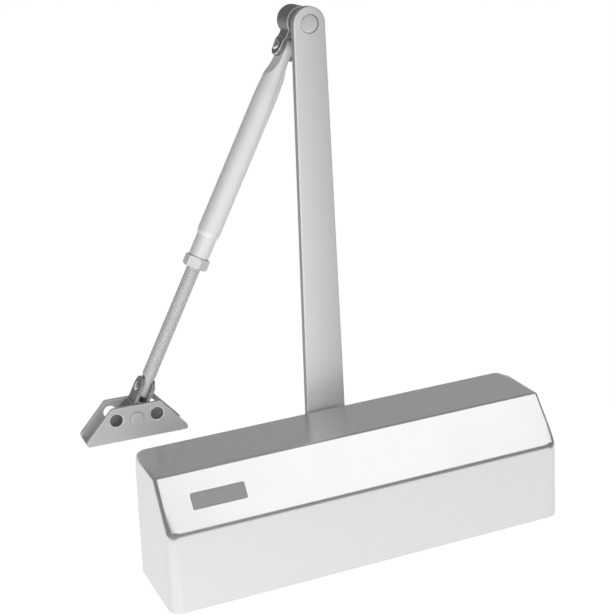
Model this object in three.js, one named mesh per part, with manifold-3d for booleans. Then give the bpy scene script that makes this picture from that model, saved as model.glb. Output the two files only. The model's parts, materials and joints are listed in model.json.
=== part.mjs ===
// Surface-mounted hydraulic door closer with a double-lever arm.
// Millimetres. The mounting face is Z = 0, with +Z away from the door leaf.
// X runs along the cover, from the spring end to the valve end.
// Y runs along the pinion, from the blank side of the cover to the arm side.
// The origin lies on the mounting face under the pinion axis.

import * as THREE from 'three';
import { mergeVertices } from 'three/addons/utils/BufferGeometryUtils.js';
import Module from 'manifold-3d';

const wasm = await Module();
wasm.setup();

const TAU = 2 * Math.PI;

// Cover
const COVER_SPRING_SIDE = 144.4;    // pinion axis to the cover's spring end
const COVER_VALVE_SIDE = 141.2;     // pinion axis to the cover's valve end
const COVER_WIDTH = 73.5;           // along Y, at the mounting face
const COVER_DEPTH = 84.7;           // projection from the door
const COVER_BEVEL_Z = 54;           // top of the blank side, where the bevel starts
const COVER_BEVEL_Y = 24.4;         // width that the bevel takes off the front face
const COVER_WALL = 2.4;
const COVER_CORNER_R = 9;           // upright corners at the door
const COVER_CORNER_TOP_R = 3;       // and at the front face, on the blank side
const COVER_EDGE_R = 2.4;           // rolled edges of the end faces
const COVER_END_DRAFT = 0.03;       // slope of the two ends
const COVER_SIDE_DRAFT = 0.01;      // slope of the two long sides
const COVER_SHAFT_HOLE_R = 15.5;
const COVER_SCREW_X = 84;
const COVER_SCREW_R = 1.6;
const COVER_SCREW_HEAD_R = 3.4;
const COVER_SCREW_HEAD_H = 1.8;

// Badge plate, let into the bevel
const BADGE_LENGTH = 36.2;
const BADGE_WIDTH = 10.6;
const BADGE_THICKNESS = 0.6;
const BADGE_FROM_END = 21.1;        // spring end of the cover to the plate
const BADGE_FROM_EDGE = 19.3;       // up the bevel from the blank side, to the plate's middle
const BADGE_POCKET = 0.6;
const BADGE_GAP = 0.25;

// Housing
const AXIS_Z = 35;                  // bore and pinion axes above the door
const BORE_R = 23.15;
const HOUSING_R = 29.5;
const SPRING_END_ROOM = 14;         // inside of the cover's end to the housing
const HOUSING_VALVE_END = 106;
const BASE_END_ROOM = 5;            // inside of the cover's end to the base slab
const BASE_VALVE_END = 128;
const BASE_HALF_WIDTH = 31;
const BASE_THICKNESS = 8;
const MOUNT_HOLE_R = 3.4;
const MOUNT_HOLE_Y = 22;
const MOUNT_HOLE_INSET = 7;
const SHAFT_BOSS_R = 18.3;
const SHAFT_BOSS_Y = 33.2;
const SHAFT_BORE_R = 14.5;

// Pinion and rack
const GEAR_MODULE = 2;
const GEAR_TEETH = 12;
const PRESSURE_ANGLE = THREE.MathUtils.degToRad(25);
const ADDENDUM = 1.8;
const DEDENDUM = 2.3;
const BACKLASH = 0.3;
const GEAR_HALF_WIDTH = 11.5;
const JOURNAL_R = 9;
const SHOULDER_R = 11.2;
const SQUARE_SIZE = 13;             // across the flats of the arm end
const SHAFT_TURN = 170;             // degrees of pinion turn that the piston allows

// Piston
const PISTON_R = 23;
const PISTON_SPRING_SKIRT = 28;     // window to the spring end of the piston
const PISTON_VALVE_SKIRT = 32;
const SPRING_CUP_DEPTH = 18;
const SPRING_CUP_R = 18.8;
const VALVE_CUP_DEPTH = 19;
const WINDOW_CLEARANCE = 3.2;
const CHECK_VALVE_R = 4;

// Closing spring
const SPRING_WIRE_R = 2.5;
const SPRING_MEAN_R = 15.4;
const SPRING_TURNS = 6;
const SPRING_LENGTH = 78;
const SEAT_THICKNESS = 4;
const SEAT_R = 22.6;
const ADJUSTER_R = 5;
const ADJUSTER_HEAD_R = 7.5;
const ADJUSTER_HEAD_H = 4;

// End plugs
const PLUG_LENGTH = 15;
const PLUG_BOSS_R = 13.5;
const PLUG_BOSS_H = 4;
const PLUG_RING_R = 2.1;            // depth of the seal groove
const PLUG_RING_WIDTH = 3;

// Shaft bearings
const BEARING_LENGTH = 6.4;
const BEARING_CAP_H = 3.2;
const SEAL_R = 11.1;

// Regulating valves
const VALVE_R = 3.4;
const VALVE_HEAD_R = 4.8;
const VALVE_HEAD_H = 2.6;
const VALVE_BOSS_R = 7.5;
const VALVE_BOSS_TOP = 70;
const VALVE_POSITIONS = { valve_sweep: 56, valve_latch: 78, valve_backcheck: -62 };

// Main arm
const ARM_GAP = 4.25;               // cover to arm
const ARM_THICKNESS = 5.8;
const ARM_LENGTH = 312.6;           // pinion to elbow
const ARM_LEAN = THREE.MathUtils.degToRad(0.72);
const ARM_HUB_HALF_WIDTH = 14.8;
const ARM_ELBOW_HALF_WIDTH = 10.95;
const ARM_EDGE_R = 1;
const ARM_WASHER_R = 9;
const ARM_WASHER_H = 1.5;
const ARM_SCREW_R = 3;
const ARM_SCREW_LENGTH = 16;
const ARM_SCREW_HEAD_R = 6.5;
const ARM_SCREW_HEAD_H = 3;

// Elbow
const ELBOW_WASHER_R = 7.2;         // collar between the arm and the knuckle
const ELBOW_WASHER_H = 7.7;
const ELBOW_RIVET_R = 4;
const ELBOW_HEAD_R = 6.1;
const ELBOW_HEAD_DEPTH = 1.8;       // sink in the arm
const ELBOW_HEAD_SUNK = 0.4;        // arm's face to the head
const ELBOW_FAR_HEAD_R = 6.4;
const ELBOW_FAR_HEAD_H = 2.2;
const KNUCKLE_R = 10;
const KNUCKLE_LENGTH = 18.9;        // along the elbow pin
const KNUCKLE_LIP = 0.4;            // drum's front face ahead of the ears
const FORK_HALF_WIDTH = 6.6;        // outer faces of the knuckle's two ears
const NECK_HALF_WIDTH = 5.6;
const FORK_HALF_SLOT = 3.2;
const FORK_R = 6.8;                 // rounded ends of the ears
const FORK_HALF_DEPTH = 6.8;
const FORK_THROAT = 7.6;            // cross pin back to the bottom of the slot

// Telescopic forearm, measured along its own axis from the elbow pin
const FOREARM_LEAN = THREE.MathUtils.degToRad(28.7);
const CROSS_PIN_S = 19.4;
const CROSS_PIN_R = 2.6;
const CROSS_PIN_HEAD_R = 3.4;
const CROSS_PIN_HEAD_H = 1.7;
const TONGUE_HALF_THICKNESS = 2.9;
const TONGUE_R = 7.2;
const SHOULDER_GAP = 0.5;           // ear ends to the start of the scoops
const SCOOP_R = 23;                 // hollow from the tongue's faces out to the round tube
const TUBE_NECK_R = 7.2;
const TUBE_NECK_S = 38;
const TUBE_SHOULDER_R = 7.4;
const TUBE_SHOULDER_S = 45;
const TUBE_R = 7.8;
const TUBE_FULL_S = 52;
const TUBE_SWAGE_S = 149.8;
const TUBE_SWAGE_LENGTH = 3;
const TUBE_END_R = 6.9;
const TUBE_END_S = 167.2;
const TUBE_BORE_R = 5.1;
const TUBE_BORE_S = 42;
const NUT_HEIGHT = 7.6;
const NUT_ACROSS_FLATS = 15;
const ROD_R = 4.75;
const ROD_START_S = 96;
const ROD_PIN_S = 263.2;
const ROD_HALF_FLAT = 2.8;          // flattened end of the rod
const ROD_FLAT_LENGTH = 7.6;        // rod pin back to the end of the flats
const ROD_PAST_PIN = 6.6;
const ROD_PIN_R = 2;
const ROD_PIN_HEAD_R = 3.2;
const ROD_PIN_HEAD_H = 0.8;
const ROD_PIN_TAIL_H = 3.2;         // riveted end, on the cover's side

// Shoe
const SHOE_RIVET_S = 282.2;
const SHOE_RIVET_R = 3.5;
const SHOE_RIVET_HEAD_R = 4.5;
const SHOE_RIVET_HEAD_H = 0.7;
const SWIVEL_EAR = 1.8;
const SWIVEL_EAR_GAP = 0.2;         // flattened rod end to ear
const SWIVEL_BARREL_R = 8.4;
const SWIVEL_FLOOR = 2.2;           // rod end to the clevis floor
const BRACKET_WIDTH = 20;
const BRACKET_SHEET = 2.5;
const BRACKET_HEIGHT = 24.4;
const BRACKET_HALF_BASE = 34.8;
const BRACKET_HALF_TOP = 16.8;
const BRACKET_END_HEIGHT = 4.2;     // upright stretch at each end of a flange
const BRACKET_CORNER_R = 2.4;
const BRACKET_LEAN = THREE.MathUtils.degToRad(1.2);
const BRACKET_RIVET_Z = 15.2;       // base to rivet
const BRACKET_HOLE_R = 4.15;
const BRACKET_HOLE_X = 14;
const BRACKET_HOLE_LIFT = 0.9;      // hole centres above the rivet
const BRACKET_SCREW_R = 2.7;
const BRACKET_SCREW_X = 24.5;
const BRACKET_SIDE_GAP = 0.3;

const FIT = 0.15;                   // running and fitting clearance, on radius or face

// Values worked out from the sizes above
const COVER_HALF_WIDTH = COVER_WIDTH / 2;
const COVER_INNER_END = COVER_SPRING_SIDE - COVER_WALL;
const HOUSING_SPRING_END = COVER_INNER_END - SPRING_END_ROOM;
const BASE_SPRING_END = COVER_INNER_END - BASE_END_ROOM;
const PITCH_R = GEAR_MODULE * GEAR_TEETH / 2;
const PITCH = Math.PI * GEAR_MODULE;
const TRAVEL = PITCH_R * THREE.MathUtils.degToRad(SHAFT_TURN);
const WINDOW_START = -(PITCH_R + ADDENDUM + WINDOW_CLEARANCE);
const WINDOW_END = PITCH_R + ADDENDUM + WINDOW_CLEARANCE + TRAVEL;
const PISTON_START = WINDOW_START - PISTON_SPRING_SKIRT;
const PISTON_END = WINDOW_END + PISTON_VALVE_SKIRT;
const SPRING_START = PISTON_START + SPRING_CUP_DEPTH - FIT;
const SPRING_END = SPRING_START - SPRING_LENGTH;
const ARM_FRONT = COVER_HALF_WIDTH + ARM_GAP;
const ARM_BACK = ARM_FRONT + ARM_THICKNESS;
const KNUCKLE_START = ARM_BACK + ELBOW_WASHER_H + 2 * FIT;
const FOREARM_Y = KNUCKLE_START + KNUCKLE_LIP + FORK_HALF_DEPTH;
const ELBOW_X = ARM_LENGTH * Math.sin(ARM_LEAN);
const ELBOW_Z = AXIS_Z + ARM_LENGTH * Math.cos(ARM_LEAN);
const RIVET_X = ELBOW_X - SHOE_RIVET_S * Math.sin(FOREARM_LEAN);
const RIVET_Z = ELBOW_Z - SHOE_RIVET_S * Math.cos(FOREARM_LEAN);
const SWIVEL_HALF_Y = BRACKET_WIDTH / 2 - BRACKET_SHEET - BRACKET_SIDE_GAP;

// ---- Solids ----

function solidOf(geometry) {
  const plain = geometry.index ? geometry.toNonIndexed() : geometry.clone();
  plain.deleteAttribute('normal');
  plain.deleteAttribute('uv');
  const welded = mergeVertices(plain, 1e-4);
  return new wasm.Manifold(new wasm.Mesh({
    numProp: 3,
    vertProperties: new Float32Array(welded.attributes.position.array),
    triVerts: new Uint32Array(welded.index.array),
  }));
}

function geometryOf(solid) {
  const mesh = solid.getMesh();
  const geometry = new THREE.BufferGeometry();
  geometry.setAttribute('position', new THREE.BufferAttribute(mesh.vertProperties, 3));
  geometry.setIndex(new THREE.BufferAttribute(mesh.triVerts, 1));
  return geometry;
}

// Turns a solid made along Z so that it runs along another axis.
function alongX(geometry) {
  return geometry.rotateY(Math.PI / 2);
}

function alongY(geometry) {
  return geometry.rotateX(-Math.PI / 2);
}

function rod(radius, from, to, sides = 32) {
  const geometry = new THREE.CylinderGeometry(radius, radius, to - from, sides);
  return geometry.rotateX(Math.PI / 2).translate(0, 0, (from + to) / 2);
}

function rodX(radius, from, to, sides = 32) {
  return solidOf(alongX(rod(radius, from, to, sides)));
}

function rodY(radius, from, to, sides = 32) {
  return solidOf(alongY(rod(radius, from, to, sides)));
}

function rodZ(radius, from, to, sides = 32) {
  return solidOf(rod(radius, from, to, sides));
}

function block(x0, x1, y0, y1, z0, z1) {
  const geometry = new THREE.BoxGeometry(x1 - x0, y1 - y0, z1 - z0);
  return solidOf(geometry.translate((x0 + x1) / 2, (y0 + y1) / 2, (z0 + z1) / 2));
}

// A ring or stepped shaft turned about Z, from [radius, z] points listed with z rising.
function turned(profile, sides = 32) {
  const points = profile.map(([radius, z]) => new THREE.Vector2(radius, z));
  return new THREE.LatheGeometry(points, sides).rotateX(Math.PI / 2);
}

// An outline in X and Z, extruded along Y between two planes.
function plateXZ(shape, y0, y1, curveSegments = 12) {
  const geometry = new THREE.ExtrudeGeometry(shape, { depth: y1 - y0, bevelEnabled: false, curveSegments });
  return geometry.rotateX(Math.PI / 2).translate(0, y1, 0);
}

function circle(radius, x = 0, y = 0) {
  return new THREE.Path().absarc(x, y, radius, 0, TAU, true);
}

function polygon(points) {
  return new THREE.Shape(points.map(([x, y]) => new THREE.Vector2(x, y)));
}

function roundedRectangle(x0, x1, y0, y1, r) {
  const shape = new THREE.Shape();
  shape.absarc(x1 - r, y1 - r, r, 0, TAU / 4, false);
  shape.absarc(x0 + r, y1 - r, r, TAU / 4, TAU / 2, false);
  shape.absarc(x0 + r, y0 + r, r, TAU / 2, TAU * 3 / 4, false);
  shape.absarc(x1 - r, y0 + r, r, TAU * 3 / 4, TAU, false);
  shape.closePath();
  return shape;
}

function hexagon(acrossFlats) {
  const corner = acrossFlats / Math.sqrt(3);
  const points = [];
  for (let i = 0; i < 6; i += 1) {
    points.push([corner * Math.cos(i * TAU / 6), corner * Math.sin(i * TAU / 6)]);
  }
  return polygon(points);
}

// ---- Placing ----

function finish(colour, roughness, metalness) {
  return { color: colour, roughness, metalness };
}

const SILVER_PAINT = finish(0xc6c7c9, 0.42, 0.35);
const BRUSHED = finish(0xb9babc, 0.38, 0.8);
const CAST = finish(0x9b9da0, 0.7, 0.5);
const STEEL = finish(0xa9abae, 0.35, 0.95);
const ZINC = finish(0xb4b6b8, 0.4, 0.9);
const SPRING_STEEL = finish(0x55585c, 0.45, 0.9);
const RUBBER = finish(0x1d1d1f, 0.85, 0);
const BRONZE = finish(0xa98249, 0.4, 0.9);
const BADGE_GREY = finish(0x8b8c8f, 0.5, 0.3);

function piece(parent, name, body, look) {
  const geometry = body instanceof THREE.BufferGeometry ? body : geometryOf(body);
  const mesh = new THREE.Mesh(geometry, new THREE.MeshStandardMaterial(look));
  mesh.name = name;
  parent.add(mesh);
  return mesh;
}

// ---- Cover ----

// The cover's outer form, or its hollow when inset is the wall thickness.
function coverForm(inset, bottom) {
  const half = COVER_HALF_WIDTH - inset;
  const top = COVER_DEPTH - inset;
  const slope = Math.atan2(COVER_DEPTH - COVER_BEVEL_Z, COVER_BEVEL_Y);
  const bevelShift = inset * Math.tan((Math.PI / 2 - slope) / 2);
  const frontShift = inset * Math.tan(slope / 2);
  const edge = Math.max(COVER_EDGE_R - inset, 0.4);
  const outline = polygon([
    [-half, bottom],
    [half, bottom],
    [half, top],
    [-COVER_HALF_WIDTH + COVER_BEVEL_Y + frontShift, top],
    [-half, COVER_BEVEL_Z - bevelShift],
  ]);
  const length = COVER_SPRING_SIDE + COVER_VALVE_SIDE - 2 * inset;
  const profile = new THREE.ExtrudeGeometry(outline, {
    depth: length - 2 * edge,
    bevelThickness: edge,
    bevelSize: edge,
    bevelOffset: -edge,
    bevelSegments: 3,
  });
  // Shape X becomes Y, shape Y becomes Z and the extrusion runs along X.
  profile.rotateX(Math.PI / 2).rotateZ(Math.PI / 2);
  profile.translate(edge + inset - COVER_SPRING_SIDE, 0, 0);
  const plan = roundedRectangle(
    inset - COVER_SPRING_SIDE, COVER_VALVE_SIDE - inset, -half, half,
    Math.max(COVER_CORNER_R - inset, 1),
  );
  const column = new THREE.ExtrudeGeometry(plan, {
    depth: top - bottom + 20, bevelEnabled: false, curveSegments: 5,
  });
  column.translate(0, 0, bottom - 10);
  const position = column.attributes.position;
  for (let i = 0; i < position.count; i += 1) {
    const x = position.getX(i);
    const cornerX = x > 0 ? COVER_VALVE_SIDE - inset : inset - COVER_SPRING_SIDE;
    const cornerY = Math.sign(position.getY(i)) * half;
    const topRadius = cornerY > 0 ? COVER_CORNER_R : COVER_CORNER_TOP_R;
    const radius = THREE.MathUtils.mapLinear(position.getZ(i), 0, COVER_DEPTH, COVER_CORNER_R, topRadius);
    position.setX(i, cornerX + (x - cornerX) * radius / COVER_CORNER_R);
    position.setY(i, cornerY + (position.getY(i) - cornerY) * radius / COVER_CORNER_R);
  }
  return solidOf(profile).intersect(solidOf(column));
}

// Leans the four walls in as they rise.
function drafted(geometry) {
  const middle = (COVER_VALVE_SIDE - COVER_SPRING_SIDE) / 2;
  const halfLength = (COVER_SPRING_SIDE + COVER_VALVE_SIDE) / 2;
  const position = geometry.attributes.position;
  for (let i = 0; i < position.count; i += 1) {
    const z = position.getZ(i);
    position.setX(i, middle + (position.getX(i) - middle) * (1 - COVER_END_DRAFT * z / halfLength));
    position.setY(i, position.getY(i) * (1 - COVER_SIDE_DRAFT * z / COVER_HALF_WIDTH));
  }
  return geometry;
}

// A frame on the bevel: X along the cover, Y up the bevel, Z out of it.
function bevelFrame() {
  const low = new THREE.Vector3(0, -COVER_HALF_WIDTH + COVER_SIDE_DRAFT * COVER_BEVEL_Z, COVER_BEVEL_Z);
  const narrowing = 1 - COVER_SIDE_DRAFT * COVER_DEPTH / COVER_HALF_WIDTH;
  const innerY = (-COVER_HALF_WIDTH + COVER_BEVEL_Y) * narrowing;
  const high = new THREE.Vector3(0, innerY, COVER_DEPTH);
  const up = high.clone().sub(low).normalize();
  const along = new THREE.Vector3(1, 0, 0);
  const out = along.clone().cross(up);
  const centre = low.clone().addScaledVector(up, BADGE_FROM_EDGE);
  centre.x = -COVER_SPRING_SIDE + COVER_END_DRAFT * centre.z + BADGE_FROM_END + BADGE_LENGTH / 2;
  return new THREE.Matrix4().makeBasis(along, up, out).setPosition(centre);
}

function badgeForm(grow, from, to) {
  const x = BADGE_LENGTH / 2 + grow;
  const y = BADGE_WIDTH / 2 + grow;
  const shape = roundedRectangle(-x, x, -y, y, 0.9 + grow);
  const geometry = new THREE.ExtrudeGeometry(shape, {
    depth: to - from, bevelEnabled: false, curveSegments: 3,
  });
  return geometry.translate(0, 0, from).applyMatrix4(bevelFrame());
}

function cover() {
  const outer = solidOf(drafted(geometryOf(coverForm(0, 0))));
  const hollow = solidOf(drafted(geometryOf(coverForm(COVER_WALL, -5))));
  const shaftHole = rodY(COVER_SHAFT_HOLE_R, COVER_HALF_WIDTH - 8, COVER_HALF_WIDTH + 4)
    .translate([0, 0, AXIS_Z]);
  const screwHole = rodY(COVER_SCREW_R + FIT, COVER_HALF_WIDTH - 8, COVER_HALF_WIDTH + 4, 16);
  return outer
    .subtract(hollow)
    .subtract(shaftHole)
    .subtract(screwHole.translate([-COVER_SCREW_X, 0, AXIS_Z]))
    .subtract(screwHole.translate([COVER_SCREW_X, 0, AXIS_Z]))
    .subtract(solidOf(badgeForm(BADGE_GAP, -BADGE_POCKET, 3)));
}

function badgePlate() {
  const bottom = -BADGE_POCKET + BADGE_GAP;
  return badgeForm(0, bottom, bottom + BADGE_THICKNESS);
}

function coverScrew() {
  const wall = COVER_HALF_WIDTH;
  return turned([
    [0, wall - 9],
    [COVER_SCREW_R, wall - 9],
    [COVER_SCREW_R, wall + FIT],
    [COVER_SCREW_HEAD_R, wall + FIT],
    [COVER_SCREW_HEAD_R, wall + FIT + COVER_SCREW_HEAD_H * 0.6],
    [COVER_SCREW_HEAD_R * 0.6, wall + FIT + COVER_SCREW_HEAD_H],
    [0, wall + FIT + COVER_SCREW_HEAD_H],
  ], 20);
}

// ---- Housing ----

function housing() {
  const barrel = rodX(HOUSING_R, -HOUSING_SPRING_END, HOUSING_VALVE_END, 36);
  const web = block(-HOUSING_SPRING_END, HOUSING_VALVE_END, -16, 16, -AXIS_Z + 2, 0);
  const base = block(
    -BASE_SPRING_END, BASE_VALVE_END, -BASE_HALF_WIDTH, BASE_HALF_WIDTH,
    -AXIS_Z, BASE_THICKNESS - AXIS_Z,
  );
  const shaftBoss = rodY(SHAFT_BOSS_R, -SHAFT_BOSS_Y, SHAFT_BOSS_Y, 32);
  let body = barrel.add(web).add(base).add(shaftBoss);
  for (const x of Object.values(VALVE_POSITIONS)) {
    body = body.add(rodZ(VALVE_BOSS_R, HOUSING_R - 4, VALVE_BOSS_TOP - AXIS_Z, 16).translate([x, 0, 0]));
  }
  const screwBossEnd = COVER_HALF_WIDTH - COVER_WALL - COVER_SIDE_DRAFT * AXIS_Z - 0.3;
  for (const x of [-COVER_SCREW_X, COVER_SCREW_X]) {
    body = body.add(rodY(5, HOUSING_R - 3, screwBossEnd, 12).translate([x, 0, 0]));
  }
  body = body.subtract(rodX(BORE_R, -HOUSING_SPRING_END - 5, HOUSING_VALVE_END + 5, 36));
  body = body.subtract(rodY(SHAFT_BORE_R, -SHAFT_BOSS_Y - 5, SHAFT_BOSS_Y + 5, 32));
  for (const x of Object.values(VALVE_POSITIONS)) {
    body = body.subtract(rodZ(VALVE_R + FIT, BORE_R + 1.4, VALVE_BOSS_TOP, 12).translate([x, 0, 0]));
  }
  for (const x of [-COVER_SCREW_X, COVER_SCREW_X]) {
    body = body.subtract(rodY(COVER_SCREW_R + FIT, BORE_R + 2.5, COVER_HALF_WIDTH, 12).translate([x, 0, 0]));
  }
  const hole = rodZ(MOUNT_HOLE_R, -AXIS_Z - 5, BASE_THICKNESS - AXIS_Z + 5, 16);
  for (const x of [MOUNT_HOLE_INSET - BASE_SPRING_END, BASE_VALVE_END - MOUNT_HOLE_INSET]) {
    for (const y of [-MOUNT_HOLE_Y, MOUNT_HOLE_Y]) {
      body = body.subtract(hole.translate([x, y, 0]));
    }
  }
  return body;
}

// An end plug with a seal groove and a spanner boss; it faces +X with its inner face at X = 0.
function endPlug(throughRadius) {
  const body = PLUG_LENGTH;
  const groove = (body - PLUG_RING_WIDTH) / 2;
  const r = BORE_R - FIT;
  const inner = throughRadius;
  const profile = [
    [inner, 0],
    [r, 0],
    [r, groove],
    [r - PLUG_RING_R, groove],
    [r - PLUG_RING_R, groove + PLUG_RING_WIDTH],
    [r, groove + PLUG_RING_WIDTH],
    [r, body],
    [PLUG_BOSS_R, body],
    [PLUG_BOSS_R, body + PLUG_BOSS_H],
    [inner, body + PLUG_BOSS_H],
  ];
  if (inner > 0) {
    profile.push([inner, 0]);
  }
  return alongX(turned(profile, 40));
}

function plugSeal() {
  const groove = (PLUG_LENGTH - PLUG_RING_WIDTH) / 2;
  const inner = BORE_R - PLUG_RING_R;
  const outer = BORE_R - 0.1;
  const from = groove + FIT;
  const to = groove + PLUG_RING_WIDTH - FIT;
  return alongX(turned([
    [inner, from], [outer, from], [outer, to], [inner, to], [inner, from],
  ], 28));
}

// ---- Shaft bearings and seals ----

const BEARING_START = SHAFT_BOSS_Y - BEARING_CAP_H - FIT - BEARING_LENGTH;

function bearing() {
  const inner = JOURNAL_R + 0.1;
  const outer = SHAFT_BORE_R - FIT;
  const end = BEARING_START + BEARING_LENGTH;
  return alongY(turned([
    [inner, BEARING_START], [outer, BEARING_START], [outer, end], [inner, end], [inner, BEARING_START],
  ], 24));
}

function sealNut() {
  const start = SHAFT_BOSS_Y - BEARING_CAP_H;
  const inner = SEAL_R + FIT;
  const outer = SHAFT_BORE_R - FIT;
  return alongY(turned([
    [inner, start], [outer, start], [outer, SHAFT_BOSS_Y], [inner, SHAFT_BOSS_Y], [inner, start],
  ], 24));
}

function shaftSeal() {
  const start = SHAFT_BOSS_Y - BEARING_CAP_H + FIT;
  const end = SHAFT_BOSS_Y - FIT;
  const inner = JOURNAL_R + FIT;
  return alongY(turned([
    [inner, start], [SEAL_R, start], [SEAL_R, end], [inner, end], [inner, start],
  ], 24));
}

function bottomNut() {
  const start = SHAFT_BOSS_Y - BEARING_CAP_H;
  const outer = SHAFT_BORE_R - FIT;
  return alongY(turned([
    [0, start], [outer, start], [outer, SHAFT_BOSS_Y - 0.8], [outer - 0.8, SHAFT_BOSS_Y], [0, SHAFT_BOSS_Y],
  ], 24));
}

// ---- Pinion and piston ----

function involute(angle) {
  return Math.tan(angle) - angle;
}

// Half of a tooth's angle at a radius, for an involute tooth thinned by half the backlash.
function halfTooth(radius) {
  const base = PITCH_R * Math.cos(PRESSURE_ANGLE);
  const pressure = Math.acos(Math.min(1, base / radius));
  const atPitch = (PITCH / 2 - BACKLASH / 2) / (2 * PITCH_R);
  return atPitch + involute(PRESSURE_ANGLE) - involute(pressure);
}

// Gear outline in X and Z, with one tooth pointing along -Z, towards the rack.
function gearOutline() {
  const base = PITCH_R * Math.cos(PRESSURE_ANGLE);
  const root = PITCH_R - DEDENDUM;
  const tip = PITCH_R + ADDENDUM;
  const radii = [root];
  for (let i = 0; i <= 3; i += 1) {
    radii.push(THREE.MathUtils.lerp(base, tip, i / 3));
  }
  const points = [];
  for (let tooth = 0; tooth < GEAR_TEETH; tooth += 1) {
    const middle = -Math.PI / 2 + tooth * TAU / GEAR_TEETH;
    for (const side of [-1, 1]) {
      const flank = side < 0 ? radii : [...radii].reverse();
      for (const radius of flank) {
        const angle = middle + side * halfTooth(Math.max(radius, base));
        points.push([radius * Math.cos(angle), radius * Math.sin(angle)]);
      }
    }
  }
  return polygon(points);
}

function pinion() {
  const squareStart = ARM_FRONT - 0.6;
  const gear = solidOf(plateXZ(gearOutline(), -GEAR_HALF_WIDTH, GEAR_HALF_WIDTH));
  const shoulderEnd = BEARING_START - FIT;
  const core = PITCH_R - DEDENDUM - 0.4;
  const shaft = solidOf(alongY(turned([
    [0, -(SHAFT_BOSS_Y - BEARING_CAP_H - FIT)],
    [JOURNAL_R, -(SHAFT_BOSS_Y - BEARING_CAP_H - FIT)],
    [JOURNAL_R, -shoulderEnd],
    [SHOULDER_R, -shoulderEnd],
    [SHOULDER_R, -GEAR_HALF_WIDTH],
    [core, -GEAR_HALF_WIDTH],
    [core, GEAR_HALF_WIDTH],
    [SHOULDER_R, GEAR_HALF_WIDTH],
    [SHOULDER_R, shoulderEnd],
    [JOURNAL_R, shoulderEnd],
    [JOURNAL_R, squareStart],
    [0, squareStart],
  ], 28)));
  const half = SQUARE_SIZE / 2;
  const square = block(-half, half, squareStart - 2, ARM_BACK - FIT, -half, half)
    .rotate([0, THREE.MathUtils.radToDeg(ARM_LEAN), 0]);
  const tapped = rodY(ARM_SCREW_R + 0.2, ARM_BACK - ARM_SCREW_LENGTH, ARM_BACK + 2, 20);
  return gear.add(shaft).add(square).subtract(tapped);
}

// Rack outline in X and Z, with a gap at X = 0 at rest and its pitch line at -PITCH_R.
function rackOutline() {
  const tipZ = -PITCH_R + ADDENDUM;
  const rootZ = -PITCH_R - DEDENDUM;
  const bottom = -PISTON_R - 2;
  const slope = Math.tan(PRESSURE_ANGLE);
  const half = PITCH / 4 - BACKLASH / 4;
  const first = Math.ceil(WINDOW_START / PITCH + 0.5);
  const last = Math.floor(WINDOW_END / PITCH - 0.5);
  const points = [[WINDOW_START - 1, rootZ]];
  for (let i = first; i < last; i += 1) {
    const middle = (i + 0.5) * PITCH;
    points.push([middle - half - DEDENDUM * slope, rootZ]);
    points.push([middle - half + ADDENDUM * slope, tipZ]);
    points.push([middle + half - ADDENDUM * slope, tipZ]);
    points.push([middle + half + DEDENDUM * slope, rootZ]);
  }
  points.push([WINDOW_END + 1, rootZ], [WINDOW_END + 1, bottom], [WINDOW_START - 1, bottom]);
  return polygon(points.reverse());
}

function piston() {
  const body = rodX(PISTON_R, PISTON_START, PISTON_END, 36);
  const window = block(
    WINDOW_START, WINDOW_END, -PISTON_R - 1, PISTON_R + 1,
    -PITCH_R - DEDENDUM, PITCH_R + ADDENDUM + 1.2,
  );
  const rack = solidOf(plateXZ(rackOutline(), FIT - GEAR_HALF_WIDTH, GEAR_HALF_WIDTH - FIT))
    .intersect(rodX(PISTON_R - 1, PISTON_START, PISTON_END, 36));
  const springCup = rodX(SPRING_CUP_R, PISTON_START - 1, PISTON_START + SPRING_CUP_DEPTH, 28);
  const valveCup = rodX(SPRING_CUP_R - 2, PISTON_END - VALVE_CUP_DEPTH, PISTON_END + 1, 28);
  const valveHole = rodX(CHECK_VALVE_R + FIT, WINDOW_END - 1, PISTON_END, 12);
  return body.subtract(window).add(rack).subtract(springCup).subtract(valveCup).subtract(valveHole);
}

function checkValve() {
  const end = PISTON_END - VALVE_CUP_DEPTH;
  return alongX(turned([
    [0, WINDOW_END + 3], [CHECK_VALVE_R, WINDOW_END + 3], [CHECK_VALVE_R, end + FIT],
    [CHECK_VALVE_R + 2, end + FIT], [CHECK_VALVE_R + 2, end + 2], [0, end + 2],
  ], 20));
}

class Helix extends THREE.Curve {
  getPoint(t, target = new THREE.Vector3()) {
    const from = SPRING_START - SPRING_WIRE_R - FIT;
    const to = SPRING_END + SPRING_WIRE_R + FIT;
    const angle = t * SPRING_TURNS * TAU;
    return target.set(
      THREE.MathUtils.lerp(from, to, t),
      SPRING_MEAN_R * Math.cos(angle),
      SPRING_MEAN_R * Math.sin(angle),
    );
  }
}

function mainSpring() {
  const wire = new THREE.Shape();
  wire.absarc(0, 0, SPRING_WIRE_R, 0, TAU, false);
  return new THREE.ExtrudeGeometry(wire, {
    steps: SPRING_TURNS * 12, curveSegments: 3, bevelEnabled: false, extrudePath: new Helix(),
  });
}

function springSeat() {
  return alongX(turned([
    [0, SPRING_END - SEAT_THICKNESS - 3],
    [ADJUSTER_R, SPRING_END - SEAT_THICKNESS - 3],
    [ADJUSTER_R + 3, SPRING_END - SEAT_THICKNESS],
    [SEAT_R, SPRING_END - SEAT_THICKNESS],
    [SEAT_R, SPRING_END],
    [0, SPRING_END],
  ], 24));
}

// ---- Regulating valves ----

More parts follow.
